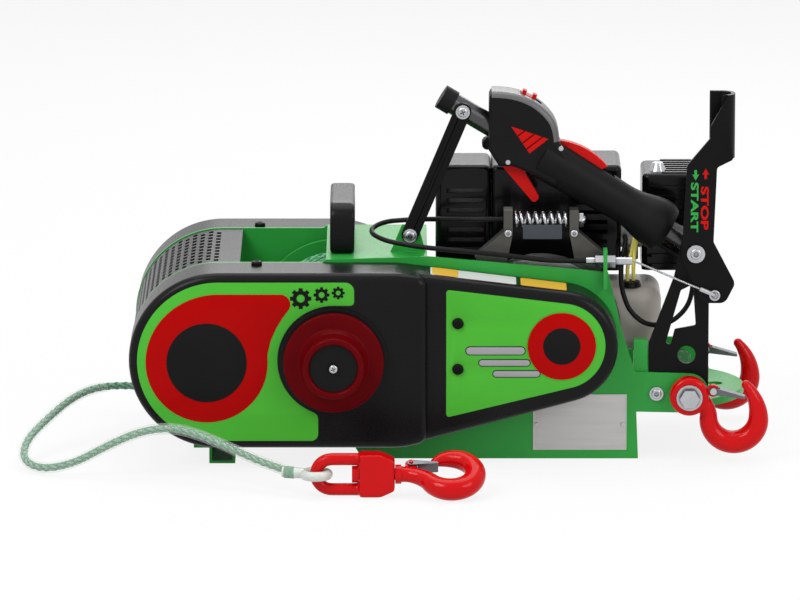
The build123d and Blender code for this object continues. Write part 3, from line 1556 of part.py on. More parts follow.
sleeve_diameter = 10.0
sleeve_sides = 10
first_run = 30.0
rope_route = [
    (outlet[0], 0, outlet[1]),
    (outlet[0] - first_run * cos(lead_angle), 0, outlet[1] - first_run * sin(lead_angle)),
    (-380, -22, 51),
    (-409, -66, 34),
    (-427, -100, 21),
    (-429, -134, 9),
    (-408, -160, 5.5),
    (-376, -170, 14),
    (-343, -174, 33),
    (-309, -178, 49),
    (-276, -184, 54),
    (-244, -196, 47),
    (-214, -213, 37),
    (-184, -232, 28),
    (-157, -247, swivel_z + 1),
]
with BuildPart() as rope_free:
    rope_length = laid_tube(rope_route, sleeve_diameter / 2, sleeve_sides)
save(rope_free, "rope_free")
section_area = sleeve_sides / 2 * (sleeve_diameter / 2) ** 2 * sin(2 * pi / sleeve_sides)
volume_ratio = rope_free.part.volume / section_area / rope_length
print("free rope: length", round(rope_length), "radii", [round(r) for r in bend_radii(rope_route)])
print("free rope: volume over section times length", round(volume_ratio, 4))

# Spliced eye of the rope round the end of the link
splice_radius = 4.8
splice_ring = 11.8
neck_wall = 0.4
neck_length = 14.0
with BuildPart() as rope_eye:
    ring_middle = Vector(link_end_x - link_half_height, swivel_y, swivel_z)
    with Locations(ring_middle):
        Torus(splice_ring, splice_radius)
    rope_end = Vector(*rope_route[-1])
    with BuildSketch(Plane(rope_end, z_dir=rope_end - Vector(*rope_route[-2]))):
        Circle(sleeve_diameter / 2 + neck_wall)
    extrude(amount=neck_length)
save(rope_eye, "rope_eye")

# Brake cable sheath from the adjuster round behind the strut to the left clevis, and the throttle
# cable from the carburettor past the bracket window to the end of the grip
cable_radius = 2.5
sheath_start_x = 134.0
clevis_face_x = input_axis[0] - clevis_x - clevis_size[0] / 2
brake_route = [
    (sheath_start_x - seat_gap, cable_y, cable_z),
    (96, cable_y, cable_z),
    (52, cable_y, 209),
    (8, -89, 213),
    (-34, -84, 216),
    (-68, -72, 220),
    (-84, -50, 225),
    (-70, -26, 230),
    (-36, -28, 233),
    (-4, -48, 237),
    (26, band_middle_y, clevis_z),
    (clevis_face_x - seat_gap, band_middle_y, clevis_z),
]
carb_near_y = 16.0
throttle_route = [
    (175.5, carb_near_y - seat_gap, 206),
    (175.5, -14, 206),
    (170, -42, 192),
    (170, -58, 168),
    (178, -64, 146),
    (196, -64, 131),
    (220, -61, 133),
    (238, -58, 150),
    (243, -54, 174),
    (236, -46, 192),
    (222, -41, 202),
    (208.5, -40, 210),
]
with BuildPart() as control_cables:
    laid_tube(brake_route, cable_radius)
    laid_tube(throttle_route, cable_radius)
save(control_cables, "control_cables")
print("cable radii", [round(r) for r in bend_radii(brake_route) + bend_radii(throttle_route)])

# Steel inner wire from the adjuster to the lever, with its end fitting
wire_radius = 1.2
ferrule_radius = 2.6
ferrule_length = 16.0
adjuster_x = (sheath_start_x, 180.0)
wire_end_y = lever_near - 4.0
wire_start = Vector(adjuster_x[1] + wire_radius, cable_y, cable_z)
wire_stop = Vector(cable_end[0], wire_end_y, cable_end[1])
with BuildPart() as brake_wire:
    with BuildSketch(Plane(wire_start, z_dir=wire_stop - wire_start)):
        Circle(wire_radius)
    extrude(amount=(wire_stop - wire_start).length)
    ferrule_start = wire_stop - (wire_stop - wire_start).normalized() * ferrule_length
    with BuildSketch(Plane(ferrule_start, z_dir=wire_stop - wire_start)):
        Circle(ferrule_radius)
    extrude(amount=ferrule_length)
    disc_along_y(cable_end, cable_eye_radius + 1.5, lever_near - seat_gap, -wire_end_y + lever_near + 2)
    disc_along_y(cable_end, cable_eye_radius - 0.4, lever_far, lever_gauge + 1)
save(brake_wire, "brake_wire")

# Two yellow fuel lines from the tank grommet to the carburettor
line_radius = 2.0
line_spacing = 6.0
grommet_top = tank_high + grommet_height
with BuildPart() as fuel_lines:
    for shift in (0.0, line_spacing):
        laid_tube(
            [
                (177 + shift, -31 + shift / 3, grommet_top + seat_gap),
                (177 + shift, -31 + shift / 3, 186),
                (181 + shift / 2, -26, 197),
                (184.5 + shift / 2, -9, 212 + shift / 2),
                (184.5 + shift / 2, carb_near_y - seat_gap, 212 + shift / 2),
            ],
            line_radius,
        )
save(fuel_lines, "fuel_lines")

# Black domed screws on top of both covers and on the tail of the near one
cover_screw_x = -195.0
cover_screw_y = near_outer - 12.0
tail_screw_x = 5.6
tail_screw_z = (102.5, 149.0)
screw_dome = 35.0
with BuildPart() as cover_screws:
    for y, radius in ((cover_screw_y, nose_radius), (-cover_screw_y, far_cover_radius)):
        with BuildSketch(Plane((cover_screw_x, y, nose_z + radius))):
            Circle(screw_head_radius)
        extrude(amount=screw_head_height, taper=screw_dome)
    for z in tail_screw_z:
        with BuildSketch(across(tail_front)):
            with Locations((tail_screw_x, z)):
                Circle(screw_head_radius)
        extrude(amount=screw_head_height, taper=screw_dome)
save(cover_screws, "cover_screws")

# Bolts, pins and nuts, all of them fixed to the frame
washer_radius = 13.0
washer_gauge = 2.5
bolt_head_radius = 10.0
bolt_head_height = 7.0
pin_fit = 0.02
screw_end = 3.0
bolt_end = 4.0
head_over = 3.0
head_gauge = 3.0
nut_radius = 7.0
nut_length = 8.0


def hex_along_y(centre, radius, y_far, length):
    with BuildSketch(across(y_far)) as head:
        with Locations(centre):
            RegularPolygon(radius, 6)
    extrude(head.sketch, amount=length)


with BuildPart() as zinc_hardware:
    eye_outer = hook_y + eye_width / 2 + seat_gap
    pin_length = eye_outer - far_face + 5
    disc_along_y(hook_pin, hook_pin_radius - pin_fit, near_face + 5, pin_length)
    disc_along_y(hook_pin, washer_radius, -eye_outer, washer_gauge)
    hex_along_y(hook_pin, bolt_head_radius, -eye_outer - washer_gauge, bolt_head_height)
    disc_along_y(hook_pin, hook_pin_radius - pin_fit, eye_outer, pin_length)
    disc_along_y(hook_pin, washer_radius, eye_outer + washer_gauge, washer_gauge)
    hex_along_y(hook_pin, bolt_head_radius, eye_outer + washer_gauge + bolt_head_height, bolt_head_height)
    screw_grip = plate_gauge + bracket_gauge + screw_end
    disc_along_y(plate_screw, plate_screw_radius - pin_fit, near_face + bracket_gauge + screw_end, screw_grip)
    disc_along_y(plate_screw, plate_screw_radius + head_over, near_outer, head_gauge)
    disc_along_y(plate_screw, plate_screw_radius - pin_fit, far_outer, plate_gauge)
    disc_along_y(plate_screw, plate_screw_radius + head_over, far_outer + head_gauge, head_gauge)
    pivot_far = near_face + bracket_gauge + pin_over
    disc_along_y(lever_pivot, lever_pin_radius - pin_fit, pivot_far, pivot_far - lever_near)
    disc_along_y(lever_pivot, lever_pin_radius + 4, near_face, near_face - lever_far - seat_gap)
    disc_along_y(lever_pivot, lever_pin_radius + 4, lever_near - seat_gap, 5)
    disc_along_y(lever_pivot, lever_pin_radius - pin_fit, lever_near, seat_gap)
    tube_grip = 2 * tube_radius + strut_gauge + bolt_end
    disc_along_y(tube_bolt, small_bolt_radius - pin_fit, tube_y + tube_radius + bolt_end, tube_grip)
    disc_along_y(tube_bolt, small_bolt_radius + 3, strut_far - strut_gauge, 4)
    disc_along_y(tab_hole, small_bolt_radius - pin_fit, tab_y, tab_gauge + strut_gauge)
    disc_along_y(tab_hole, small_bolt_radius + 3, strut_far - strut_gauge, 4)
    disc_along_y(anchor, anchor_radius - pin_fit, brake_drum_far + 2, near_face * -1 + brake_drum_far + 2)
    for pin in (trigger_pin, lockout_pin):
        disc_along_y(pin, pivot_radius - pin_fit, tube_y + head_half_width - 1, 2 * head_half_width - 2)
    with BuildSketch(Plane.YZ.offset(adjuster_x[0])):
        with Locations((cable_y, cable_z)):
            Circle(adjuster_radius - pin_fit)
    extrude(amount=adjuster_x[1] - adjuster_x[0] - seat_gap)
    for nut_x in (cable_tab_x - nut_length, cable_tab_x + cable_tab_gauge):
        with BuildSketch(Plane.YZ.offset(nut_x)):
            with Locations((cable_y, cable_z)):
                RegularPolygon(nut_radius, 6)
        extrude(amount=nut_length)
    with BuildSketch(Plane.YZ.offset(bracket_flange_x - 4)):
        with Locations(flange_bolt):
            Circle(small_bolt_radius - pin_fit)
    extrude(amount=bracket_gauge + 8)
    with BuildSketch(Plane.YZ.offset(bracket_flange_x + bracket_gauge)):
        with Locations(flange_bolt):
            RegularPolygon(nut_radius, 6)
    extrude(amount=5)
    with BuildSketch(Plane.XY.offset(filter_top)):
        with Locations((filter_x[0] + 16, filter_y[0] + 20)):
            Circle(9)
    extrude(amount=8, taper=25)
save(zinc_hardware, "zinc_hardware")
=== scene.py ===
from math import cos, pi, radians, sin

import bpy
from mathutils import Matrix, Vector


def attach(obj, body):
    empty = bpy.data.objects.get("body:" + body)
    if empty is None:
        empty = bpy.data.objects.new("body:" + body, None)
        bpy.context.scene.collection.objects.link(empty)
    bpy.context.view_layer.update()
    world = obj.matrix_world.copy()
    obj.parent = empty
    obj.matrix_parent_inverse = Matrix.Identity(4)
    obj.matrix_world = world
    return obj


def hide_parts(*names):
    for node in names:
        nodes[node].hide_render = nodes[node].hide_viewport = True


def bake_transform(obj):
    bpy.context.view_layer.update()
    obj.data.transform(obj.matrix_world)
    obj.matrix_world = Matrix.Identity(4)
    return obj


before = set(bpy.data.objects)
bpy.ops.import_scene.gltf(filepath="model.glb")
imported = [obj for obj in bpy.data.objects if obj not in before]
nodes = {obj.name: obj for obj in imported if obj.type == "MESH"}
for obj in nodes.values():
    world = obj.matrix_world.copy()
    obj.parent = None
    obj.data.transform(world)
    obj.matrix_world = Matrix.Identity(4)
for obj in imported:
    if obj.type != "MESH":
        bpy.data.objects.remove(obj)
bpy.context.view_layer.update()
mm = 0.001
mergeGap = {"made": 0.000002, "cad": 0.00001}  # points nearer than this become one
turnTo = {"x": (0, pi / 2, 0), "y": (pi / 2, 0, 0)}  # lays an upright piece along X or Y
print("frame loaded:", len(nodes), "nodes")


def deselectAll():
    if bpy.context.object and bpy.context.object.mode != "OBJECT":
        bpy.ops.object.mode_set(mode="OBJECT")
    bpy.ops.object.select_all(action="DESELECT")


def pick(piece):
    deselectAll()
    piece.select_set(True)
    bpy.context.view_layer.objects.active = piece


def placeInMesh(piece):  # the object goes to the origin and its place goes into the mesh
    pick(piece)
    bpy.ops.object.transform_apply(location=True, rotation=True, scale=True)
    return piece


def settle(piece, name, material, body):  # name it, paint it and let it ride on its body
    placeInMesh(piece)
    piece.name = name
    piece.data.name = name
    piece.data.materials.clear()
    piece.data.materials.append(material)
    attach(piece, body)


def smooth(piece, angle=35):
    pick(piece)
    bpy.ops.object.shade_smooth_by_angle(angle=radians(angle))
    return piece


def joinPieces(pieces):
    deselectAll()
    for piece in pieces:
        piece.select_set(True)
    bpy.context.view_layer.objects.active = pieces[0]
    if len(pieces) > 1:
        bpy.ops.object.join()
    return bpy.context.object


def applyModifier(piece, kind, **settings):
    pick(piece)
    tool = piece.modifiers.new(kind, kind)
    for key, value in settings.items():
        setattr(tool, key, value)
    bpy.ops.object.modifier_apply(modifier=tool.name)


def roundEdges(piece, width):
    applyModifier(piece, "BEVEL", width=width, segments=2, limit_method="ANGLE", angle_limit=radians(40))
    return smooth(piece)


def selectFaces(piece, test):  # leaves the piece in edit mode with only those faces selected
    pick(piece)
    bpy.ops.object.mode_set(mode="EDIT")
    bpy.ops.mesh.select_mode(type="FACE")
    bpy.ops.mesh.select_all(action="DESELECT")
    bpy.ops.object.mode_set(mode="OBJECT")
    for face in piece.data.polygons:
        face.select = test(face)
    bpy.ops.object.mode_set(mode="EDIT")


def stepFaces(piece, test, inset, move):  # insets those faces, then moves them in or out
    selectFaces(piece, test)
    bpy.ops.mesh.inset(thickness=inset * mm)
    bpy.ops.mesh.extrude_region_move(TRANSFORM_OT_translate={"value": tuple(v * mm for v in move)})
    bpy.ops.object.mode_set(mode="OBJECT")


def addCylinder(sides, radius, length, place, axis):  # sizes and place in millimetres
    deselectAll()
    bpy.ops.mesh.primitive_cylinder_add(vertices=sides, radius=radius * mm, depth=length * mm,
                                        location=[v * mm for v in place], rotation=turnTo[axis])
    return placeInMesh(bpy.context.object)


def mergeAndTurnOut(piece):  # doubles merged first, then all faces point outwards
    pick(piece)
    bpy.ops.object.mode_set(mode="EDIT")
    bpy.ops.mesh.select_all(action="SELECT")
    bpy.ops.mesh.remove_doubles(threshold=mergeGap["made"])
    bpy.ops.mesh.normals_make_consistent(inside=False)
    bpy.ops.object.mode_set(mode="OBJECT")
    return piece


# Finishes: each has its own colour drift, gloss drift and surface grain; some also get painted shade in inner
# corners
surface = {"driftDetail": 4.0, "grainDetail": 3.0, "grainSpan": (0.3, 0.7),
           "cornerReach": 0.004, "cornerSpan": (0.45, 0.95), "cornerSamples": 8}
usualLook = {"stretch": (1, 1, 1), "drift": 14.0, "bump": 0.1, "depth": 0.0001, "metallic": 0.0, "ior": 1.5,
             "coat": 0.0, "coatRough": 0.1, "sheen": 0.0, "alpha": 1.0}
shaderSockets = {"Metallic": "metallic", "IOR": "ior", "Coat Weight": "coat", "Coat Roughness": "coatRough",
                 "Sheen Weight": "sheen", "Alpha": "alpha"}
mixSockets = {"share": 0, "dark": 6, "light": 7, "colour": 2}  # of a Mix node that mixes colours


def addNode(tree, kind, **sockets):
    node = tree.nodes.new(kind)
    for key, value in sockets.items():
        node.inputs[key.replace("_", " ")].default_value = value
    return node


def spread(tree, source, span, ends):  # stretches a value from one range to another
    node = addNode(tree, "ShaderNodeMapRange", From_Min=span[0], From_Max=span[1],
                   To_Min=ends[0], To_Max=ends[1])
    tree.links.new(source, node.inputs["Value"])
    return node.outputs["Result"]


def darkCorners(tree, colour, share):  # painted shade: inner corners darken towards this share of the colour
    corner = addNode(tree, "ShaderNodeAmbientOcclusion", Distance=surface["cornerReach"])
    corner.only_local = True
    corner.samples = surface["cornerSamples"]
    shade = tree.nodes.new("ShaderNodeVectorMath")
    shade.operation = "SCALE"
    tree.links.new(colour, shade.inputs[0])
    light = spread(tree, corner.outputs["AO"], surface["cornerSpan"], (share, 1.0))
    tree.links.new(light, shade.inputs["Scale"])
    return shade.outputs["Vector"]


def makeFinish(name, settings):
    look = {**usualLook, **settings}
    material = bpy.data.materials.new(name)
    material.use_nodes = True
    tree = material.node_tree
    link = tree.links.new
    shader = tree.nodes["Principled BSDF"]
    place = tree.nodes.new("ShaderNodeTexCoord")
    turn = addNode(tree, "ShaderNodeMapping", Scale=look["stretch"])
    link(place.outputs["Object"], turn.inputs["Vector"])
    drift = addNode(tree, "ShaderNodeTexNoise", Scale=look["drift"], Detail=surface["driftDetail"])
    link(turn.outputs["Vector"], drift.inputs["Vector"])
    tint = tree.nodes.new("ShaderNodeMix")
    tint.data_type = "RGBA"
    for end in ("dark", "light"):
        tint.inputs[mixSockets[end]].default_value = (*look[end], 1)
    link(drift.outputs["Fac"], tint.inputs[mixSockets["share"]])
    colour = tint.outputs[mixSockets["colour"]]
    # painted shade in inner corners, where the finish asks for it
    if "cornerShade" in look:
        colour = darkCorners(tree, colour, look["cornerShade"])
    link(colour, shader.inputs["Base Color"])
    grain = addNode(tree, "ShaderNodeTexNoise", Scale=look["grain"], Detail=surface["grainDetail"])
    link(turn.outputs["Vector"], grain.inputs["Vector"])
    link(spread(tree, grain.outputs["Fac"], surface["grainSpan"], look["rough"]), shader.inputs["Roughness"])
    bump = addNode(tree, "ShaderNodeBump", Strength=look["bump"], Distance=look["depth"])
    link(grain.outputs["Fac"], bump.inputs["Height"])
    link(bump.outputs["Normal"], shader.inputs["Normal"])
    for socket, key in shaderSockets.items():
        shader.inputs[socket].default_value = look[key]
    return material


panelLook = dict(rough=(0.36, 0.44), grain=1200.0, bump=0.03)
ropeLook = dict(rough=(0.55, 0.70), grain=2200.0, bump=0.5, depth=0.0003, sheen=0.3, drift=300.0)
finishes = {
    "frameGreen": dict(dark=(0.020, 0.285, 0.038), light=(0.032, 0.365, 0.058), rough=(0.26, 0.40),
                       grain=420.0, bump=0.12, depth=0.0002, ior=1.32),
    "coverBlack": dict(dark=(0.0035, 0.0035, 0.0042), light=(0.0062, 0.0062, 0.0072), rough=(0.24, 0.34),
                       grain=900.0, bump=0.03, ior=1.22),
    "steelBlack": dict(dark=(0.0020, 0.0020, 0.0023), light=(0.0045, 0.0045, 0.0050), rough=(0.30, 0.42),
                       grain=600.0, bump=0.14, ior=1.20),
    "gripBlack": dict(dark=(0.004, 0.004, 0.0045), light=(0.008, 0.008, 0.0085), rough=(0.40, 0.56),
                      grain=1400.0, bump=0.25, ior=1.20),
    "headGrey": dict(dark=(0.080, 0.080, 0.084), light=(0.110, 0.110, 0.114), rough=(0.32, 0.44),
                     grain=900.0),
    "shroudBlack": dict(dark=(0.0014, 0.0014, 0.0017), light=(0.0030, 0.0030, 0.0035), rough=(0.16, 0.26),
                        grain=700.0, coat=0.07, coatRough=0.08, ior=1.24),
    "knobRed": dict(dark=(0.095, 0.001, 0.002), light=(0.130, 0.002, 0.004), rough=(0.14, 0.22),
                    grain=800.0, bump=0.03, ior=1.10),
    "controlRed": dict(dark=(0.470, 0.004, 0.003), light=(0.560, 0.008, 0.006), rough=(0.26, 0.36),
                       grain=900.0, ior=1.18),
    "hookRed": dict(dark=(0.500, 0.001, 0.002), light=(0.620, 0.002, 0.004), rough=(0.10, 0.20),
                    grain=140.0, bump=0.35, depth=0.0004, coat=0.10, coatRough=0.04, ior=1.20),
    # cornerShade: the share of the colour left in inner corners, as painted shade
    "zinc": dict(dark=(0.36, 0.37, 0.39), light=(0.56, 0.57, 0.59), rough=(0.16, 0.30),
                 grain=260.0, bump=0.05, metallic=1.0, drift=60.0, cornerShade=0.12),
    "gearSteel": dict(dark=(0.28, 0.28, 0.29), light=(0.44, 0.44, 0.45), rough=(0.32, 0.50),
                      grain=300.0, bump=0.15, depth=0.0002, metallic=1.0, drift=50.0, cornerShade=0.3),
    "castGrey": dict(dark=(0.045, 0.045, 0.040), light=(0.100, 0.098, 0.090), rough=(0.38, 0.58),
                     grain=520.0, bump=0.45, depth=0.0003, metallic=0.7, drift=45.0, cornerShade=0.3),
    "latchSteel": dict(dark=(0.10, 0.10, 0.11), light=(0.17, 0.17, 0.18), rough=(0.24, 0.38),
                       grain=260.0, bump=0.05, metallic=0.9, drift=60.0, cornerShade=0.3),
    "alloy": dict(dark=(0.34, 0.34, 0.35), light=(0.54, 0.54, 0.55), rough=(0.34, 0.52),
                  grain=520.0, bump=0.25, depth=0.0002, metallic=1.0, drift=40.0),
    "mufflerSteel": dict(dark=(0.060, 0.058, 0.056), light=(0.130, 0.127, 0.123), rough=(0.45, 0.65),
                         grain=380.0, bump=0.2, depth=0.0002, metallic=1.0, drift=35.0),
    "tubeSteel": dict(dark=(0.060, 0.061, 0.063), light=(0.100, 0.101, 0.104), rough=(0.20, 0.32),
                      grain=300.0, bump=0.05, metallic=1.0, drift=40.0),
    "tankCream": dict(dark=(0.50, 0.45, 0.40), light=(0.66, 0.61, 0.56), rough=(0.34, 0.46),
                      grain=500.0, depth=0.0002),
    "rubberBlack": dict(dark=(0.004, 0.004, 0.004), light=(0.009, 0.009, 0.009), rough=(0.36, 0.50),
                        grain=700.0, bump=0.15, ior=1.22),
    "fuelYellow": dict(dark=(0.70, 0.62, 0.09), light=(0.82, 0.76, 0.16), rough=(0.18, 0.28), grain=400.0),
    "panelGreen": dict(panelLook, dark=(0.050, 0.380, 0.020), light=(0.072, 0.450, 0.034),
                       rough=(0.34, 0.42), ior=1.30),
    "panelRed": dict(panelLook, dark=(0.350, 0.001, 0.001), light=(0.430, 0.002, 0.002),
                     rough=(0.34, 0.42), ior=1.13),
    "panelBlack": dict(panelLook, dark=(0.006, 0.006, 0.006), light=(0.010, 0.010, 0.010), ior=1.15),
    "panelGrey": dict(panelLook, dark=(0.27, 0.26, 0.29), light=(0.34, 0.33, 0.36)),
    "panelWhite": dict(panelLook, dark=(0.62, 0.62, 0.62), light=(0.72, 0.72, 0.72)),
    "panelYellow": dict(panelLook, dark=(0.70, 0.38, 0.03), light=(0.80, 0.46, 0.05)),
    "plateSilver": dict(dark=(0.44, 0.43, 0.42), light=(0.56, 0.55, 0.54), rough=(0.34, 0.46),
                        grain=300.0, bump=0.05, metallic=0.35, stretch=(1, 1, 14)),
    "tagSlate": dict(dark=(0.020, 0.028, 0.040), light=(0.034, 0.044, 0.058), rough=(0.30, 0.42),
                     grain=700.0),
    "ropeGreen": dict(ropeLook, dark=(0.020, 0.160, 0.060), light=(0.070, 0.280, 0.130)),
    "ropePale": dict(ropeLook, dark=(0.110, 0.270, 0.160), light=(0.300, 0.460, 0.350)),
    "ropeBright": dict(ropeLook, dark=(0.060, 0.400, 0.150), light=(0.160, 0.600, 0.260), rough=(0.50, 0.65)),
    "sleeveClear": dict(dark=(0.70, 0.78, 0.72), light=(0.82, 0.88, 0.84), rough=(0.06, 0.14),
                        grain=500.0, bump=0.2, depth=0.0003, alpha=0.18),
    "eyeSleeve": dict(dark=(0.50, 0.54, 0.50), light=(0.68, 0.70, 0.66), rough=(0.22, 0.36),
                      grain=300.0, bump=0.2, depth=0.0003),
}
finish = {name: makeFinish(name, look) for name, look in finishes.items()}
print("finishes made:", len(finish))

# Which finish each CAD piece wears, with the small edge round it gets
wardrobe = {
    "frameGreen": "near_side_plate far_side_plate top_deck lug_plate front_foot tie_bar engine_tray drum",
    "coverBlack": "near_cover far_cover rope_guard carry_handle recoil_starter",
    "steelBlack": "strut lever_bracket brake_lever cover_screws",
    "gripBlack": "near_grip_half far_grip_half tube_cap knob_insert starter_grip",
    "shroudBlack": "cylinder_shroud air_filter_box muffler_guard",
    "knobRed": "release_knob",
    "controlRed": "throttle_trigger lockout_lever stop_switch",
    "hookRed": "near_hook far_hook swivel_link swivel_hook",
    "zinc": "zinc_hardware brake_spring brake_wire drum_shaft gear_bearings",
    "latchSteel": "near_latch far_latch swivel_latch",
    "gearSteel": "drum_gear cluster_gear_a cluster_gear_b input_shaft dog_clutch",
    "castGrey": "left_brake_arm right_brake_arm",
    "alloy": "engine_block carburettor",
    "tubeSteel": "handle_tube",
    "mufflerSteel": "muffler",
    "tankCream": "fuel_tank",
    "rubberBlack": "tank_grommet control_cables",
    "fuelYellow": "fuel_lines",
    "ropeGreen": "rope_winding rope_lead rope_free rope_eye",
}
usualRound = {"width": 0.5 * mm, "segments": 2}
latchRound = {"width": 0.3 * mm, "segments": 2}
armRound = {"width": 1.5 * mm, "segments": 4}
edgeRounds = {"near_latch": latchRound, "far_latch": latchRound, "swivel_latch": latchRound,
              "left_brake_arm": armRound, "right_brake_arm": armRound}
edgeAngle = 32  # degrees, edges sharper than this are rounded
plainEdges = ("drum_gear cluster_gear_a cluster_gear_b brake_spring "
              "rope_winding rope_lead rope_free rope_eye").split()
forged = {  # rounded as by a die or a mould
    "swivel_link": dict(grid=0.8 * mm, passes=60),
    "carry_handle": dict(grid=1.3 * mm, passes=50),
    "release_knob": dict(grid=0.8 * mm, passes=8),
}


def dressNode(name, material):
    piece = nodes[name]
    piece.data.materials.clear()
    piece.data.materials.append(material)
    weld = piece.modifiers.new("weld", "WELD")
    weld.merge_threshold = mergeGap["cad"]
    if name in forged:
        grid = piece.modifiers.new("grid", "REMESH")
        grid.mode = "VOXEL"
        grid.voxel_size = forged[name]["grid"]
        grid.use_smooth_shade = True
        rounding = piece.modifiers.new("rounding", "SMOOTH")
        rounding.iterations = forged[name]["passes"]
    elif name not in plainEdges:
        edges = edgeRounds.get(name, usualRound)
        bevel = piece.modifiers.new("edges", "BEVEL")
        bevel.width = edges["width"]
        bevel.segments = edges["segments"]
        bevel.limit_method = "ANGLE"
        bevel.angle_limit = radians(edgeAngle)
    normals = piece.modifiers.new("normals", "WEIGHTED_NORMAL")
    normals.keep_sharp = True
    piece.data.polygons.foreach_set("use_smooth", [True] * len(piece.data.polygons))


for finishName, names in wardrobe.items():
    for nodeName in names.split():
        dressNode(nodeName, finish[finishName])
print("CAD pieces dressed")

# Rope: two families of strands cross over and under each other along a line
ropeRoute = [
    (-0.317, 0.0, 0.0545),
    (-0.34692, 0.0, 0.05671),
    (-0.380, -0.022, 0.051),
    (-0.409, -0.066, 0.034),
    (-0.427, -0.100, 0.021),
    (-0.429, -0.134, 0.009),
    (-0.408, -0.160, 0.0055),
    (-0.376, -0.170, 0.014),
    (-0.343, -0.174, 0.033),
    (-0.309, -0.178, 0.049),
    (-0.276, -0.184, 0.054),
    (-0.244, -0.196, 0.047),
    (-0.214, -0.213, 0.037),
    (-0.184, -0.232, 0.028),
    (-0.157, -0.247, 0.0228),
]
familyStrands = 4
freeBraid = {"pitch": 36 * mm, "strand": 1.35 * mm, "lie": 2.25 * mm, "weave": 0.4 * mm,
             "step": 1.9 * mm, "sides": 1}
drumBraid = {"pitch": 48 * mm, "strand": 1.40 * mm, "lie": 2.20 * mm, "weave": 0.4 * mm,
             "step": 3.0 * mm, "sides": 0}


def linkPiece(name, data):
    piece = bpy.data.objects.new(name, data)
    bpy.context.scene.collection.objects.link(piece)
    return piece


def routeSpline(name, route):  # one smooth open NURBS line through the route
    line = bpy.data.curves.new(name, "CURVE")
    line.dimensions = "3D"
    line.resolution_u = 24
    spline = line.splines.new("NURBS")
    spline.points.add(len(route) - 1)
    for point, place in zip(spline.points, route):
        point.co = (*place, 1)
    spline.order_u = 3
    spline.use_endpoint_u = True
    return linkPiece(name, line)


def linePoints(piece):  # the points that Blender lays along a curve with no bevel
    bpy.context.view_layer.update()
    laid = piece.evaluated_get(bpy.context.evaluated_depsgraph_get())
    shape = bpy.data.meshes.new_from_object(laid)
    points = [v.co.copy() for v in shape.vertices]
    bpy.data.meshes.remove(shape)
    return points


def evenPoints(points, step):
    spaced, left = [points[0].copy()], step
    for a, b in zip(points, points[1:]):
        run = (b - a).length
        while run >= left:
            a = a + (b - a).normalized() * left
            spaced.append(a.copy())
            run, left = run - left, step
        left -= run
    return spaced


def carriedFrames(points):  # a side and an up direction carried along the line without twist
    frames, side = [], None
    for i, point in enumerate(points):
        ahead = (points[min(i + 1, len(points) - 1)] - points[max(i - 1, 0)]).normalized()
        if side is None:
            side = ahead.orthogonal().normalized()
        side = (side - ahead * side.dot(ahead)).normalized()
        frames.append((point, side, ahead.cross(side)))
    return frames


def helixPoints(start, stop, radius, turns, parts, phase=0.0):  # round a straight axis, given in millimetres
    ahead = (stop - start).normalized()
    side = ahead.orthogonal().normalized()
    up = ahead.cross(side)
    laid = []
    for i in range(parts + 1):
        angle = 2 * pi * (turns * i / parts + phase)
        laid.append((start.lerp(stop, i / parts) + (side * cos(angle) + up * sin(angle)) * radius) * mm)
    return laid


def tubeOnPoints(name, lines, radius, sides=1):  # round tubes along lists of points, made one mesh
    line = bpy.data.curves.new(name, "CURVE")
    line.dimensions = "3D"
    line.bevel_depth = radius
    line.bevel_resolution = sides
    line.use_fill_caps = True
    for points in lines:
        spline = line.splines.new("POLY")
        spline.points.add(len(points) - 1)
        for point, place in zip(spline.points, points):
            point.co = (*place, 1)
    pick(linkPiece(name, line))
    bpy.ops.object.convert(target="MESH")
    return smooth(mergeAndTurnOut(bpy.context.object), 60)


def braidLines(points, braid):
    frames = carriedFrames(evenPoints(points, braid["step"]))
    families = {1: [], -1: []}
    for way in families:
        for strand in range(familyStrands):
            laid = []
            for i, (point, side, up) in enumerate(frames):
                turn = i * braid["step"] / braid["pitch"]
                angle = 2 * pi * (way * turn + strand / familyStrands)
                reach = braid["lie"] + way * braid["weave"] * cos(2 * pi * familyStrands * turn)
                laid.append(point + (side * cos(angle) + up * sin(angle)) * reach)
            families[way].append(laid)
    return families


def braidRope(name, points, braid, first="ropePale", extra=()):
    families = braidLines(points, braid)
    pale = tubeOnPoints(name + "Pale", families[1], braid["strand"], braid["sides"])
    pale.data.materials.append(finish[first])
    green = tubeOnPoints(name + "Green", families[-1], braid["strand"], braid["sides"])
    green.data.materials.append(finish["ropeGreen"])
    rope = joinPieces([pale, green, *extra])
    rope.name = name
    rope.data.name = name
    return rope


def rideRope(rope, body, replaced):
    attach(rope, body)
    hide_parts(replaced)


routeLine = routeSpline("routeLine", ropeRoute)
routePoints = linePoints(routeLine)
bpy.data.objects.remove(routeLine)
freeRope = braidRope("freeRope", routePoints, freeBraid)
rideRope(freeRope, "frame", "rope_free")

sleeve = {"start": 30 * mm, "radius": 5.7 * mm, "step": 3 * mm, "sides": 4}
sleevePoints = [point for i, point in enumerate(evenPoints(routePoints, sleeve["step"]))
                if i * sleeve["step"] > sleeve["start"]]
ropeSleeve = tubeOnPoints("ropeSleeve", [sleevePoints], sleeve["radius"], sleeve["sides"])
settle(ropeSleeve, "ropeSleeve", finish["sleeveClear"], "frame")

# Fifteen turns on the drum over a plain core, then the straight lead to the outlet
drumAxis = (-118, 113)
winding = {"turns": 15, "parts": 72, "radius": 64.1, "pitch": 8.6, "start": 64.5,
           "core": 60.3, "half": 74, "round": 1.5}


def windingPoints():
    x, z = drumAxis
    laid = []
    for i in range(winding["turns"] * winding["parts"] + 1):
        turn = i / winding["parts"]
        out, up = (winding["radius"] * part for part in (cos(2 * pi * turn), sin(2 * pi * turn)))
        laid.append(Vector((x + out, winding["start"] - winding["pitch"] * turn, z + up)) * mm)
    return laid


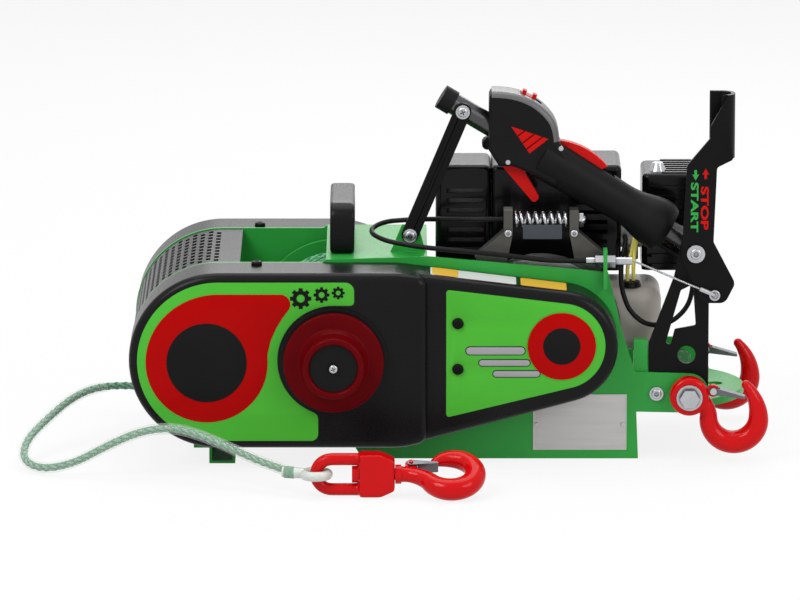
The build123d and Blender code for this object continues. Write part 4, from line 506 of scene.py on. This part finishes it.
windingCore = addCylinder(64, winding["core"], 2 * winding["half"], (drumAxis[0], 0, drumAxis[1]), "y")
roundEdges(windingCore, winding["round"] * mm)
windingCore.data.materials.append(finish["ropeGreen"])
windingRope = braidRope("windingRope", windingPoints(), drumBraid, "ropeBright", [windingCore])
rideRope(windingRope, "rope_drum", "rope_winding")

lead = {"from": Vector((-0.12338, 0, 0.04020)), "to": Vector(ropeRoute[0]), "parts": 40}
leadPoints = [lead["from"].lerp(lead["to"], i / lead["parts"]) for i in range(lead["parts"] + 1)]
rideRope(braidRope("leadRope", leadPoints, freeBraid), "frame", "rope_lead")

# The sleeved eye: a flat ring through the link, a neck on the rope's last run and a whipping round it
eye = {"centre": (-134.7, -250.0, 21.8), "ring": 11.8, "stock": 4.8, "neck": (-157.0, -247.0, 22.8),
       "stem": 5.3, "tail": 11, "tip": 3}
whipping = {"back": 9, "front": 1, "radius": 5.5, "thread": 0.6, "turns": 8, "parts": 192}


def makeEye():
    deselectAll()
    bpy.ops.mesh.primitive_torus_add(major_radius=eye["ring"] * mm, minor_radius=eye["stock"] * mm,
                                     major_segments=72, minor_segments=24,
                                     location=[v * mm for v in eye["centre"]])
    ring = placeInMesh(bpy.context.object)
    ring.data.materials.append(finish["eyeSleeve"])
    neck, centre = Vector(eye["neck"]), Vector(eye["centre"])
    ahead = (centre - neck).normalized()
    crotch = centre - ahead * eye["ring"]
    line = [neck - ahead * eye["tail"], neck, crotch - ahead * eye["tip"], crotch]
    stem = tubeOnPoints("eyeStem", [[point * mm for point in line]], eye["stem"] * mm, 5)
    stem.data.materials.append(finish["eyeSleeve"])
    ends = neck - ahead * whipping["back"], neck + ahead * whipping["front"]
    coils = helixPoints(*ends, whipping["radius"], whipping["turns"], whipping["parts"])
    whip = tubeOnPoints("eyeWhip", [coils], whipping["thread"] * mm)
    whip.data.materials.append(finish["ropePale"])
    return joinPieces([ring, stem, whip])


ropeEye = smooth(makeEye(), 60)
ropeEye.name = "ropeEyeSleeve"
rideRope(ropeEye, "frame", "rope_eye")


# Flat pieces: an outline in X and Z, with inner loops as holes, standing between two Y faces

def arcPoints(centre, radius, start, stop, count, tall=None):
    steps = [radians(start + (stop - start) * i / count) for i in range(count + 1)]
    return [(centre[0] + radius * cos(a), centre[1] + (tall or radius) * sin(a)) for a in steps]


def flatShape(name, loops, near, far, edge=0.08, rounds=1):
    outline = bpy.data.curves.new(name, "CURVE")
    outline.dimensions = "2D"
    outline.fill_mode = "BOTH"
    outline.extrude = (abs(far - near) / 2 - edge) * mm
    outline.bevel_depth = edge * mm
    outline.bevel_resolution = rounds
    outline.offset = -edge * mm
    for loop in loops:
        spline = outline.splines.new("POLY")
        spline.points.add(len(loop) - 1)
        for point, (x, z) in zip(spline.points, loop):
            point.co = (x * mm, z * mm, 0, 1)
        spline.use_cyclic_u = True
    pick(linkPiece(name, outline))
    bpy.ops.object.convert(target="MESH")
    piece = bpy.context.object
    piece.location = (0, (near + far) / 2 * mm, 0)
    piece.rotation_euler = turnTo["y"]
    return smooth(mergeAndTurnOut(placeInMesh(piece)), 40)


def ringLoop(centre, radius, count=64):
    return arcPoints(centre, radius, 0, 360, count)[:-1]


gearMarks = {"teeth": 8, "bore": 0.38,
             "tooth": ((0.0, 0.76), (0.18, 0.76), (0.26, 1.0), (0.74, 1.0), (0.82, 0.76)),
             "places": (((-150.6, 176.4), 10.7), ((-129.8, 180.1), 8), ((-113.3, 182.1), 6.5))}


def gearLoop(centre, radius):  # each tooth is given by shares of the pitch and of the radius
    loop = []
    for i in range(gearMarks["teeth"]):
        for turn, reach in gearMarks["tooth"]:
            angle = 2 * pi * (i + turn - 0.5) / gearMarks["teeth"]
            loop.append((centre[0] + radius * reach * cos(angle), centre[1] + radius * reach * sin(angle)))
    return loop


def pillLoop(left, right, middle, height):
    half = height / 2
    return (arcPoints((right - half, middle), half, -90, 90, 16)
            + arcPoints((left + half, middle), half, 90, 270, 16))


def barLoop(left, right, low, high, corner):
    return (arcPoints((right - corner, low + corner), corner, -90, 0, 6)
            + arcPoints((right - corner, high - corner), corner, 0, 90, 6)
            + arcPoints((left + corner, high - corner), corner, 90, 180, 6)
            + arcPoints((left + corner, low + corner), corner, 180, 270, 6))


layer = {"left": -146.0, "right": -137.0, "sink": 0.1, "thick": 0.35}
leftDisc = {"centre": (-244.3, 111.1), "radius": 40, "red": 60.7}
rightDisc = {"centre": (109, 126), "radius": 18.6, "red": 34, "green": 43.4}
tailScrews = {"places": ((5.6, 149), (5.6, 102.5)), "clear": 5.7}
pills = {"rows": ((13, 73, 121.4, 9), (26, 78, 109.1, 7.5), (40, 88, 97.9, 7.5)), "edge": 0.8}


def layPanel(name, loops, face, level, material):  # each level lies on the one below it
    near = face - layer["thick"] * level
    panel = flatShape(name, loops, near, near + layer["thick"] + layer["sink"])
    settle(panel, name, finish[material], "frame")


leftGreen = (arcPoints((-233, 112), 80.5, 270, 90, 60) + arcPoints((-106.6, 183.5), 9, 90, 0, 12)
             + arcPoints((-101.6, 173), 4, 0, -90, 8) + arcPoints(drumAxis, 56, 90, 243, 60)
             + [(-137.5, 60.2), (-134.3, 57.5), (-133.5, 54)] + arcPoints((-140.5, 38.5), 7, 0, -90, 8))
leftRed = (arcPoints(leftDisc["centre"], leftDisc["red"], 0, -180, 48)
           + arcPoints((-232.5, 111.1), 72.5, 180, 90, 30, 69.3) + arcPoints((-170.9, 170.4), 10, 90, -30, 16)
           + [(-168.5, 157), (-175.3, 145.6), (-180.7, 133), (-183.7, 120.1)])
rightGreen = (arcPoints((-3, 180), 3, 180, 83.26, 8)
              + arcPoints(rightDisc["centre"], rightDisc["green"], 83.26, -76.3, 48)
              + arcPoints((-3, 57), 3, -76.3, -180, 8))
screwHoles = [ringLoop(place, tailScrews["clear"], 32) for place in tailScrews["places"]]
layPanel("leftPanelGreen", [leftGreen], layer["left"], 1, "panelGreen")
layPanel("leftPanelRed", [leftRed], layer["left"], 2, "panelRed")
layPanel("leftPanelDisc", [ringLoop(leftDisc["centre"], leftDisc["radius"])], layer["left"], 3, "panelBlack")
for number, (centre, radius) in enumerate(gearMarks["places"]):
    bore = ringLoop(centre, radius * gearMarks["bore"], 24)
    layPanel("gearMark%d" % number, [gearLoop(centre, radius), bore], layer["left"], 2, "panelBlack")
layPanel("rightPanelGreen", [rightGreen, *screwHoles], layer["right"], 1, "panelGreen")
edge = pills["edge"]
for number, (left, right, middle, height) in enumerate(pills["rows"]):
    inner = pillLoop(left + edge, right - edge, middle, height - 2 * edge)
    layPanel("pillEdge%d" % number, [pillLoop(left, right, middle, height)], layer["right"], 2, "panelBlack")
    layPanel("pill%d" % number, [inner], layer["right"], 3, "panelGrey")
rightRed = ringLoop(rightDisc["centre"], rightDisc["red"], 80)
rightBlack = ringLoop(rightDisc["centre"], rightDisc["radius"])
layPanel("rightPanelRed", [rightRed], layer["right"], 4, "panelRed")
layPanel("rightPanelDisc", [rightBlack], layer["right"], 5, "panelBlack")

# Bare rating plate with a raised border and two rivets, on the near side plate
plate = {"outer": [(81.4, 9), (175.3, 9), (175.3, 66), (115.5, 66), (112, 64), (81.4, 55.5)],
         "inner": [(83.0, 10.6), (173.7, 10.6), (173.7, 64.4), (116.0, 64.4), (112.4, 62.4), (83.0, 54.2)],
         "back": -87.9, "seat": -88.6, "face": -88.7, "border": -89.0,
         "rivets": ((84.6, 35), (171.6, 35)), "rivetRadius": 2.2, "rivetTop": -89.9, "rivetEdge": 0.6}
plateParts = [flatShape("ratingPlate", [plate["outer"]], plate["face"], plate["back"]),
              flatShape("plateBorder", [plate["outer"], plate["inner"]], plate["border"], plate["seat"])]
for place in plate["rivets"]:
    rim = ringLoop(place, plate["rivetRadius"], 32)
    plateParts.append(flatShape("plateRivet", [rim], plate["rivetTop"], plate["seat"], plate["rivetEdge"], 3))
settle(joinPieces(plateParts), "ratingPlate", finish["plateSilver"], "frame")
print("panels laid")

# Bare labels on the sloped top of the near cover
slope = {"x": -49.4, "z": 200.4, "fall": 0.1203, "tilt": radians(6.86), "near": -128.0, "far": -93.0,
         "corner": 2.5, "thick": 0.5}


def slopeLabel(name, left, right, lift, material):
    deselectAll()
    middle, depth = (left + right) / 2, (slope["near"] + slope["far"]) / 2
    height = slope["z"] - slope["fall"] * (middle - slope["x"]) + lift
    bpy.ops.mesh.primitive_plane_add(size=1, location=(middle * mm, depth * mm, height * mm),
                                     rotation=(0, slope["tilt"], 0))
    label = bpy.context.object
    label.scale = ((right - left) * mm, (slope["far"] - slope["near"]) * mm, 1)
    placeInMesh(label)
    bpy.ops.object.mode_set(mode="EDIT")
    bpy.ops.mesh.select_all(action="SELECT")
    bpy.ops.mesh.bevel(offset=slope["corner"] * mm, segments=4, affect="VERTICES")
    bpy.ops.mesh.extrude_region_move(TRANSFORM_OT_translate={"value": (0, 0, -slope["thick"] * mm)})
    bpy.ops.object.mode_set(mode="OBJECT")
    settle(smooth(mergeAndTurnOut(label)), name, finish[material], "frame")


slopeLabel("topLabelWhite", -22, 64, 0.3, "panelWhite")
slopeLabel("topLabelStrip", -20, 6, 0.5, "panelYellow")
slopeLabel("topLabelYellow", 68, 114, 0.3, "panelYellow")

# Screw heads of radius 1: one with a hexagon socket and one with a cross are modelled, then copied to size
headShape = {"tall": 0.44, "middle": 0.20, "cut": 0.4, "cutMiddle": 0.36}
socketShape = {"edge": 0.26, "segments": 4, "radius": 0.52}
crossShape = {"edge": 0.34, "segments": 5, "long": 1.1, "wide": 0.24, "turn": 0.4}


def cutWith(piece, cutter):
    applyModifier(piece, "BOOLEAN", operation="DIFFERENCE", solver="EXACT", object=cutter)
    bpy.data.objects.remove(cutter)
    return piece


def plainHead(edge, segments):
    deselectAll()
    bpy.ops.mesh.primitive_cylinder_add(vertices=40, radius=1, depth=headShape["tall"],
                                        location=(0, 0, headShape["middle"]))
    head = placeInMesh(bpy.context.object)
    selectFaces(head, lambda face: face.normal.z > 0.9)
    bpy.ops.mesh.bevel(offset=edge, segments=segments, affect="EDGES")
    deselectAll()
    return head


def socketHead():
    head = plainHead(socketShape["edge"], socketShape["segments"])
    bpy.ops.mesh.primitive_cylinder_add(vertices=6, radius=socketShape["radius"], depth=headShape["cut"],
                                        location=(0, 0, headShape["cutMiddle"]))
    return smooth(cutWith(head, placeInMesh(bpy.context.object)))


def crossHead():
    head = plainHead(crossShape["edge"], crossShape["segments"])
    for turn in (0.0, pi / 2):
        deselectAll()
        bpy.ops.mesh.primitive_cube_add(size=1, location=(0, 0, headShape["cutMiddle"]),
                                        rotation=(0, 0, turn + crossShape["turn"]))
        bpy.context.object.scale = (crossShape["long"], crossShape["wide"], headShape["cut"])
        cutWith(head, placeInMesh(bpy.context.object))
    return smooth(head)


screwSet = {
    "knobScrew": ("cross", 4.4, (-118, -184.5, 113), "near", "release", "zinc"),
    "pivotScrew": ("socket", 5.6, (243.4, -96.3, 211), "near", "frame", "zinc"),
    "plateScrew": ("socket", 5.0, (205, -91, 67), "near", "frame", "zinc"),
    "tubeScrew": ("cross", 5.0, (10.7, -59, 348), "near", "frame", "zinc"),
    "tabScrew": ("socket", 5.0, (-42, -59, 222), "near", "frame", "zinc"),
    "coverScrewA": ("socket", 5.4, (-195, -100, 201), "up", "frame", "steelBlack"),
    "coverScrewB": ("socket", 5.4, (-195, 100, 200), "up", "frame", "steelBlack"),
    "tailScrewA": ("socket", 5.4, (5.6, -137, 102.5), "near", "frame", "steelBlack"),
    "tailScrewB": ("socket", 5.4, (5.6, -137, 149), "near", "frame", "steelBlack"),
    "armScrewA": ("socket", 3.8, (56.1, -76, 228), "near", "frame", "zinc"),
    "armScrewB": ("socket", 3.8, (122.2, -76, 228), "near", "brake_arm", "zinc"),
}
tallHeads = ("coverScrewA", "coverScrewB", "tailScrewA", "tailScrewB")  # these go over CAD heads
domes = dict.fromkeys(tallHeads, 9.3)
models = {"cross": crossHead(), "socket": socketHead()}
for name, (kind, radius, place, facing, body, material) in screwSet.items():
    head = linkPiece(name, models[kind].data.copy())
    head.scale = (radius * mm, radius * mm, domes.get(name, radius) * mm)
    head.location = [v * mm for v in place]
    if facing == "near":
        head.rotation_euler = turnTo["y"]
    settle(head, name, finish[material], body)
for model in models.values():
    bpy.data.objects.remove(model)
print("screw heads set:", len(screwSet))

# Handle: a grey band over the top of the head, with a window for the stop switch, and a sliced red inlay
band = {"middle": -40.0, "half": 19.6, "round": 5.6, "rise": 0.6, "leg": 5.2, "wall": 1.2, "parts": 8}
bandTop = [((39.6, 368.1), (74, 362.2), (98.5, 343.5)), ((98.5, 343.5), (104.3, 333), (107, 318))]
window = {"place": (78.7, band["middle"], 358.8), "size": (24.5, 12.0, 24.0), "turn": radians(24)}


def throughThree(a, b, c, count):
    laid = []
    for i in range(count + 1):
        t = i / count
        wa, wb, wc = (1 - t) * (1 - 2 * t), 4 * t * (1 - t), t * (2 * t - 1)
        laid.append((wa * a[0] + wb * b[0] + wc * c[0], wa * a[1] + wb * b[1] + wc * c[1]))
    return laid


def bandProfile():  # an upside-down U: height across the path, then depth
    low, flat = band["round"] - band["rise"], band["half"] - band["round"]
    outer = [(-band["leg"], band["half"])]
    for start, way in ((0, 1), (90, -1)):
        for i in range(band["parts"] + 1):
            turn = radians(start + way * 90 * i / band["parts"])
            outer.append((-low + band["round"] * sin(turn), way * (flat + band["round"] * cos(turn))))
    outer.append((-band["leg"], -band["half"]))
    side, roof = band["half"] - band["wall"], band["rise"] - band["wall"]
    inner = [(-band["leg"], -side), (-low, -side), (roof, -flat),
             (roof, flat), (-low, side), (-band["leg"], side)]
    return [(-height, depth) for height, depth in outer + inner]


def polyCurve(name, points, closed):
    line = bpy.data.curves.new(name, "CURVE")
    line.dimensions = "2D"
    line.fill_mode = "NONE" if closed else "BOTH"
    spline = line.splines.new("POLY")
    spline.points.add(len(points) - 1)
    for point, (x, y) in zip(spline.points, points):
        point.co = (x * mm, y * mm, 0, 1)
    spline.use_cyclic_u = closed
    return linkPiece(name, line)


def makeBand():
    profile = polyCurve("bandProfile", bandProfile(), True)
    path = polyCurve("bandPath", throughThree(*bandTop[0], 18) + throughThree(*bandTop[1], 8)[1:], False)
    path.data.bevel_mode = "OBJECT"
    path.data.bevel_object = profile
    path.data.use_fill_caps = True
    pick(path)
    bpy.ops.object.convert(target="MESH")
    piece = bpy.context.object
    bpy.data.objects.remove(profile)
    piece.location = (0, band["middle"] * mm, 0)
    piece.rotation_euler = turnTo["y"]
    mergeAndTurnOut(placeInMesh(piece))
    deselectAll()
    bpy.ops.mesh.primitive_cube_add(size=1, location=[v * mm for v in window["place"]],
                                    rotation=(0, window["turn"], 0))
    bpy.context.object.scale = [v * mm for v in window["size"]]
    return smooth(cutWith(piece, placeInMesh(bpy.context.object)), 40)


settle(makeBand(), "headBand", finish["headGrey"], "frame")
inlay = {"tip": (59, 333.8), "right": (96.3, 320.9), "low": (77.4, 306.2), "near": -59.5, "far": -58.8,
         "sunk": 0.4, "strips": ((0.02, 0.34), (0.38, 0.60), (0.64, 0.82), (0.86, 1.0))}


def inlayStrip(start, stop):  # lies between two shares of the way from the tip
    corners = ((inlay["right"], start), (inlay["right"], stop), (inlay["low"], stop), (inlay["low"], start))
    loop = [tuple(p + (q - p) * t for p, q in zip(inlay["tip"], end)) for end, t in corners]
    return flatShape("inlay", [loop], inlay["near"], inlay["far"], 0.12)


strips = [inlayStrip(*strip) for strip in inlay["strips"]]
# A darker red base under the strips paints shade into the grooves between them
inlayOutline = [inlay[end] for end in ("tip", "right", "low")]
inlayShadedBase = flatShape("inlayShadedBase", [inlayOutline], inlay["near"] + inlay["sunk"], inlay["far"], 0.1)
settle(inlayShadedBase, "inlayShadedBase", finish["knobRed"], "frame")
settle(joinPieces(strips), "headInlay", finish["controlRed"], "frame")

boss = {"radius": 5.5, "length": 18, "place": (35.5, -43, 314), "rim": 1.6, "deep": 3, "edge": 0.6}
clampBoss = addCylinder(36, boss["radius"], boss["length"], boss["place"], "y")
stepFaces(clampBoss, lambda face: face.normal.y < -0.9, boss["rim"], (0, boss["deep"], 0))
settle(roundEdges(clampBoss, boss["edge"] * mm), "clampBoss", finish["gripBlack"], "frame")
print("handle trimmed")

# Lever words, read downwards, each with its arrow
words = {
    "START": dict(low=238.0, high=245.6, top=282.9, end=232.4, arrow=(242.6, 291), way=1,
                  material="frameGreen"),
    "STOP": dict(low=248.0, high=255.8, top=278.8, end=234.9, arrow=(252.6, 291), way=-1,
                 material="controlRed"),
}
lettering = {"face": -91.0, "thick": 0.15, "bold": 0.034, "sink": 0.05}
arrowShape = [(-1.3, 4.5), (1.3, 4.5), (1.3, 0), (3.4, 0), (0, -6), (-3.4, 0), (-1.3, 0)]


def leverWord(text, low, high, top, end, arrow, way, material):
    deselectAll()
    bpy.ops.object.text_add()
    word = bpy.context.object
    word.data.body = text
    word.data.extrude = lettering["thick"]
    word.data.offset = lettering["bold"]
    bpy.ops.object.convert(target="MESH")
    word = bpy.context.object
    across = [v.co.x for v in word.data.vertices]
    tall = [v.co.y for v in word.data.vertices]
    stretch = (top - end) / (max(across) - min(across)), (high - low) / (max(tall) - min(tall))
    front = lettering["face"] + lettering["sink"] - lettering["thick"]
    word.scale = (stretch[0] * mm, stretch[1] * mm, mm)
    word.rotation_euler = (pi / 2, pi / 2, 0)
    place = (low - min(tall) * stretch[1], front, top + min(across) * stretch[0])
    word.location = [v * mm for v in place]
    mergeAndTurnOut(placeInMesh(word))
    loop = [(arrow[0] + x, arrow[1] + way * z) for x, z in arrowShape]
    mark = flatShape("arrow" + text, [loop], front - lettering["thick"], front + lettering["thick"])
    settle(joinPieces([word, mark]), "word" + text.title(), finish[material], "lever")


for text, settings in words.items():
    leverWord(text, **settings)

# Brake spring: close end turns, open turns between
spring = {"left": 62.7, "right": 115.6, "axis": (-64, 240), "turns": 8, "parts": 36, "closed": 3.5,
          "radius": 6.75, "wire": 1.75}


def springPoints():
    openTurns = spring["turns"] - 2
    pitch = (spring["right"] - spring["left"] - 2 * spring["closed"]) / openTurns
    laid = []
    for i in range(spring["turns"] * spring["parts"] + 1):
        turn = i / spring["parts"]
        along = spring["closed"] * (min(turn, 1) + max(turn - 1 - openTurns, 0))
        along += pitch * min(max(turn - 1, 0), openTurns)
        y, z = (middle + spring["radius"] * part
                for middle, part in zip(spring["axis"], (cos(2 * pi * turn), sin(2 * pi * turn))))
        laid.append(Vector((spring["left"] + along, y, z)) * mm)
    return laid


springCoil = tubeOnPoints("springCoil", [springPoints()], spring["wire"] * mm, 4)
springCoil.data.materials.append(finish["zinc"])
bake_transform(springCoil)
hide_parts("brake_spring")

# Nut on the outer face of the arm that the spring pushes
nut = {"radius": 8.2, "thick": 5.0, "place": (129.1, -64.0, 240.0), "rim": 3.4, "stud": 1.6, "edge": 0.55}
springNut = addCylinder(6, nut["radius"], nut["thick"], nut["place"], "x")
stepFaces(springNut, lambda face: face.normal.x > 0.9, nut["rim"], (nut["stud"], 0, 0))
settle(roundEdges(springNut, nut["edge"] * mm), "springNut", finish["zinc"], "brake_arm")

# Bare tag that hangs against the near side of the spring
tag = {"bar": (71, 110, 221.5, 236, 1.2), "near": -72.3, "far": -71.5}
springTag = flatShape("springTag", [barLoop(*tag["bar"])], tag["near"], tag["far"])
settle(springTag, "springTag", finish["tagSlate"], "frame")

# Brake wire: six wires laid round one, a ferrule and an eye on the lever
wire = {"start": (181.2, -90.0, 203.0), "stop": (262.4, -95.0, 169.0), "strands": 6, "lay": 16.0, "lie": 0.72,
        "single": 0.40, "parts": 80, "end": 14.0}
ferrule = {"radius": 2.6, "reaches": (16.0, 14.0, 6.0, 0.0)}
eyeWasher = {"radius": 5.5, "thick": 6, "place": (262.4, -94.3, 169.0), "rim": 1.9, "deep": 1.2, "edge": 0.5}


def makeWire():
    start, stop = Vector(wire["start"]), Vector(wire["stop"])
    ahead = (stop - start).normalized()
    end = stop - ahead * wire["end"]
    turns = (end - start).length / wire["lay"]
    lines = [helixPoints(start, end, 0, turns, wire["parts"])]
    for strand in range(wire["strands"]):
        lines.append(helixPoints(start, end, wire["lie"], turns, wire["parts"], strand / wire["strands"]))
    strands = tubeOnPoints("wireStrands", lines, wire["single"] * mm)
    grip = [(stop - ahead * reach) * mm for reach in ferrule["reaches"]]
    crimp = tubeOnPoints("wireFerrule", [grip], ferrule["radius"] * mm, 5)
    washer = addCylinder(40, eyeWasher["radius"], eyeWasher["thick"], eyeWasher["place"], "y")
    stepFaces(washer, lambda face: face.normal.y < -0.9, eyeWasher["rim"], (0, eyeWasher["deep"], 0))
    return joinPieces([strands, crimp, roundEdges(washer, eyeWasher["edge"] * mm)])


brakeWire = makeWire()
brakeWire.name = "brakeWireLaid"
brakeWire.data.materials.clear()
brakeWire.data.materials.append(finish["zinc"])
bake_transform(brakeWire)
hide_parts("brake_wire")
print("brake spring and wire made")

# Rivet heads on both ends of the latch pin of each anchor hook
rivet = {"place": (261.5, 72.5), "radius": 3.4, "lift": 1.0, "sink": 0.2, "edge": 0.5}
rivetFaces = {"nearRivetOuter": (-106, -1, "near_anchor"), "nearRivetInner": (-92, 1, "near_anchor"),
              "farRivetInner": (92, -1, "far_anchor"), "farRivetOuter": (106, 1, "far_anchor")}
for name, (face, way, body) in rivetFaces.items():
    ends = sorted((face - way * rivet["sink"], face + way * rivet["lift"]))
    head = flatShape(name, [ringLoop(rivet["place"], rivet["radius"], 32)], *ends, rivet["edge"], 3)
    settle(head, name, finish["zinc"], body)

# Ribs on the top of the air filter box, one modelled and then copied
ribs = {"bar": (212, 244, 274.8, 276.1, 0.5), "near": -2.0, "far": 2.0, "edge": 0.3, "count": 7, "step": 11.0}
ribModel = flatShape("ribModel", [barLoop(*ribs["bar"])], ribs["near"], ribs["far"], ribs["edge"])
for number in range(ribs["count"]):
    rib = linkPiece("filterRib%d" % number, ribModel.data.copy())
    rib.location = (0, number * ribs["step"] * mm, 0)
    settle(rib, "filterRib%d" % number, finish["shroudBlack"], "frame")
bpy.data.objects.remove(ribModel)

# Starter cord: a short straight run out from the starter towards its grip
starter = {"axis": (89.153, 162.0, 125.0), "turn": radians(40), "inside": 52.0, "outside": 71.0,
           "radius": 1.7, "parts": 60}
cordOut = Vector((cos(starter["turn"]), 0, sin(starter["turn"])))
cordEnds = [(Vector(starter["axis"]) + cordOut * starter[end]) * mm for end in ("inside", "outside")]
cordPoints = [cordEnds[0].lerp(cordEnds[1], i / starter["parts"]) for i in range(starter["parts"] + 1)]
starterCord = tubeOnPoints("starterCord", [cordPoints], starter["radius"] * mm, 3)
starterCord.data.materials.append(finish["rubberBlack"])
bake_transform(starterCord)
print("rivets, ribs and starter cord made")

# Stage: white floor, white surround, soft lamps and the long lens camera
view = {"target": (-0.052, -0.088, 0.1626), "distance": 8.0, "elevation": 12.0, "azimuth": 0.0,
        "lens": 360.0, "sensor": 36, "reach": 40}


def placeCamera():
    lens = bpy.data.cameras.new("camera")
    lens.lens = view["lens"]
    lens.sensor_width = view["sensor"]
    lens.clip_end = view["reach"]
    camera = linkPiece("camera", lens)
    up, turn = radians(view["elevation"]), radians(view["azimuth"])
    away = Vector((sin(turn) * cos(up), -cos(turn) * cos(up), sin(up)))
    camera.location = Vector(view["target"]) + away * view["distance"]
    camera.rotation_euler = (-away).to_track_quat("-Z", "Y").to_euler()
    bpy.context.scene.camera = camera


lamps = {
    "keyLamp": dict(place=(-1.3, -1.7, 2.0), aim=(0, 0, 0.1), size=(1.2, 1.2), power=34.0),
    "fillLamp": dict(place=(1.6, -1.6, 1.2), aim=(0, 0, 0.12), size=(1.2, 1.0), power=16.0),
    "topLamp": dict(place=(0.0, 0.3, 2.2), aim=(0, 0, 0), size=(2.0, 1.6), power=26.0),
    "backLamp": dict(place=(0.3, 2.0, 1.3), aim=(0, 0, 0.15), size=(1.6, 0.9), power=14.0),
}


def areaLamp(name, place, aim, size, power):
    lamp = bpy.data.lights.new(name, "AREA")
    lamp.shape = "RECTANGLE"
    lamp.size, lamp.size_y = size
    lamp.energy = power
    piece = linkPiece(name, lamp)
    piece.location = place
    piece.rotation_euler = (Vector(aim) - Vector(place)).to_track_quat("-Z", "Y").to_euler()


def seenRays(tree):  # 1 for the camera and for what metal and glass show
    path = tree.nodes.new("ShaderNodeLightPath")
    seen = path.outputs["Is Camera Ray"]
    for ray in ("Is Transmission Ray", "Is Glossy Ray"):
        either = tree.nodes.new("ShaderNodeMath")
        either.operation = "MAXIMUM"
        tree.links.new(seen, either.inputs[0])
        tree.links.new(path.outputs[ray], either.inputs[1])
        seen = either.outputs[0]
    return seen


def mixInto(tree, share, first, second, output):  # the second shader shows by this share
    mix = tree.nodes.new("ShaderNodeMixShader")
    for socket, source in zip(mix.inputs, (share, first, second)):
        tree.links.new(source, socket)
    tree.links.new(mix.outputs[0], tree.nodes[output].inputs["Surface"])


surround = {"colour": (1, 1, 1, 1), "light": 0.42, "seen": 1.0}


def setSurround():
    world = bpy.data.worlds.new("surround")
    bpy.context.scene.world = world
    world.use_nodes = True
    tree = world.node_tree
    light = tree.nodes["Background"]
    light.inputs["Color"].default_value = surround["colour"]
    light.inputs["Strength"].default_value = surround["light"]
    white = addNode(tree, "ShaderNodeBackground", Color=surround["colour"], Strength=surround["seen"])
    mixInto(tree, seenRays(tree), light.outputs[0], white.outputs[0], "World Output")


floorSet = {"size": 14, "height": -0.0005, "colour": (0.78, 0.78, 0.78, 1), "white": 0.85, "rough": 0.9,
            "shine": 0.1, "glow": 1.0}


def layFloor():  # seen by the camera it is mostly plain white, so only a faint shadow stays
    deselectAll()
    bpy.ops.mesh.primitive_plane_add(size=floorSet["size"], location=(0, 0, floorSet["height"]))
    floor = bpy.context.object
    floor.name = "floor"
    paint = bpy.data.materials.new("floorWhite")
    paint.use_nodes = True
    tree = paint.node_tree
    shader = tree.nodes["Principled BSDF"]
    shader.inputs["Base Color"].default_value = floorSet["colour"]
    shader.inputs["Roughness"].default_value = floorSet["rough"]
    shader.inputs["Specular IOR Level"].default_value = floorSet["shine"]
    glow = addNode(tree, "ShaderNodeEmission", Strength=floorSet["glow"])
    share = tree.nodes.new("ShaderNodeMath")
    share.operation = "MULTIPLY"
    share.inputs[1].default_value = floorSet["white"]
    tree.links.new(seenRays(tree), share.inputs[0])
    mixInto(tree, share.outputs[0], shader.outputs[0], glow.outputs[0], "Material Output")
    floor.data.materials.append(paint)


placeCamera()
for lampName, settings in lamps.items():
    areaLamp(lampName, **settings)
setSurround()
layFloor()
bpy.context.scene.view_settings.view_transform = "Standard"
print("stage set")
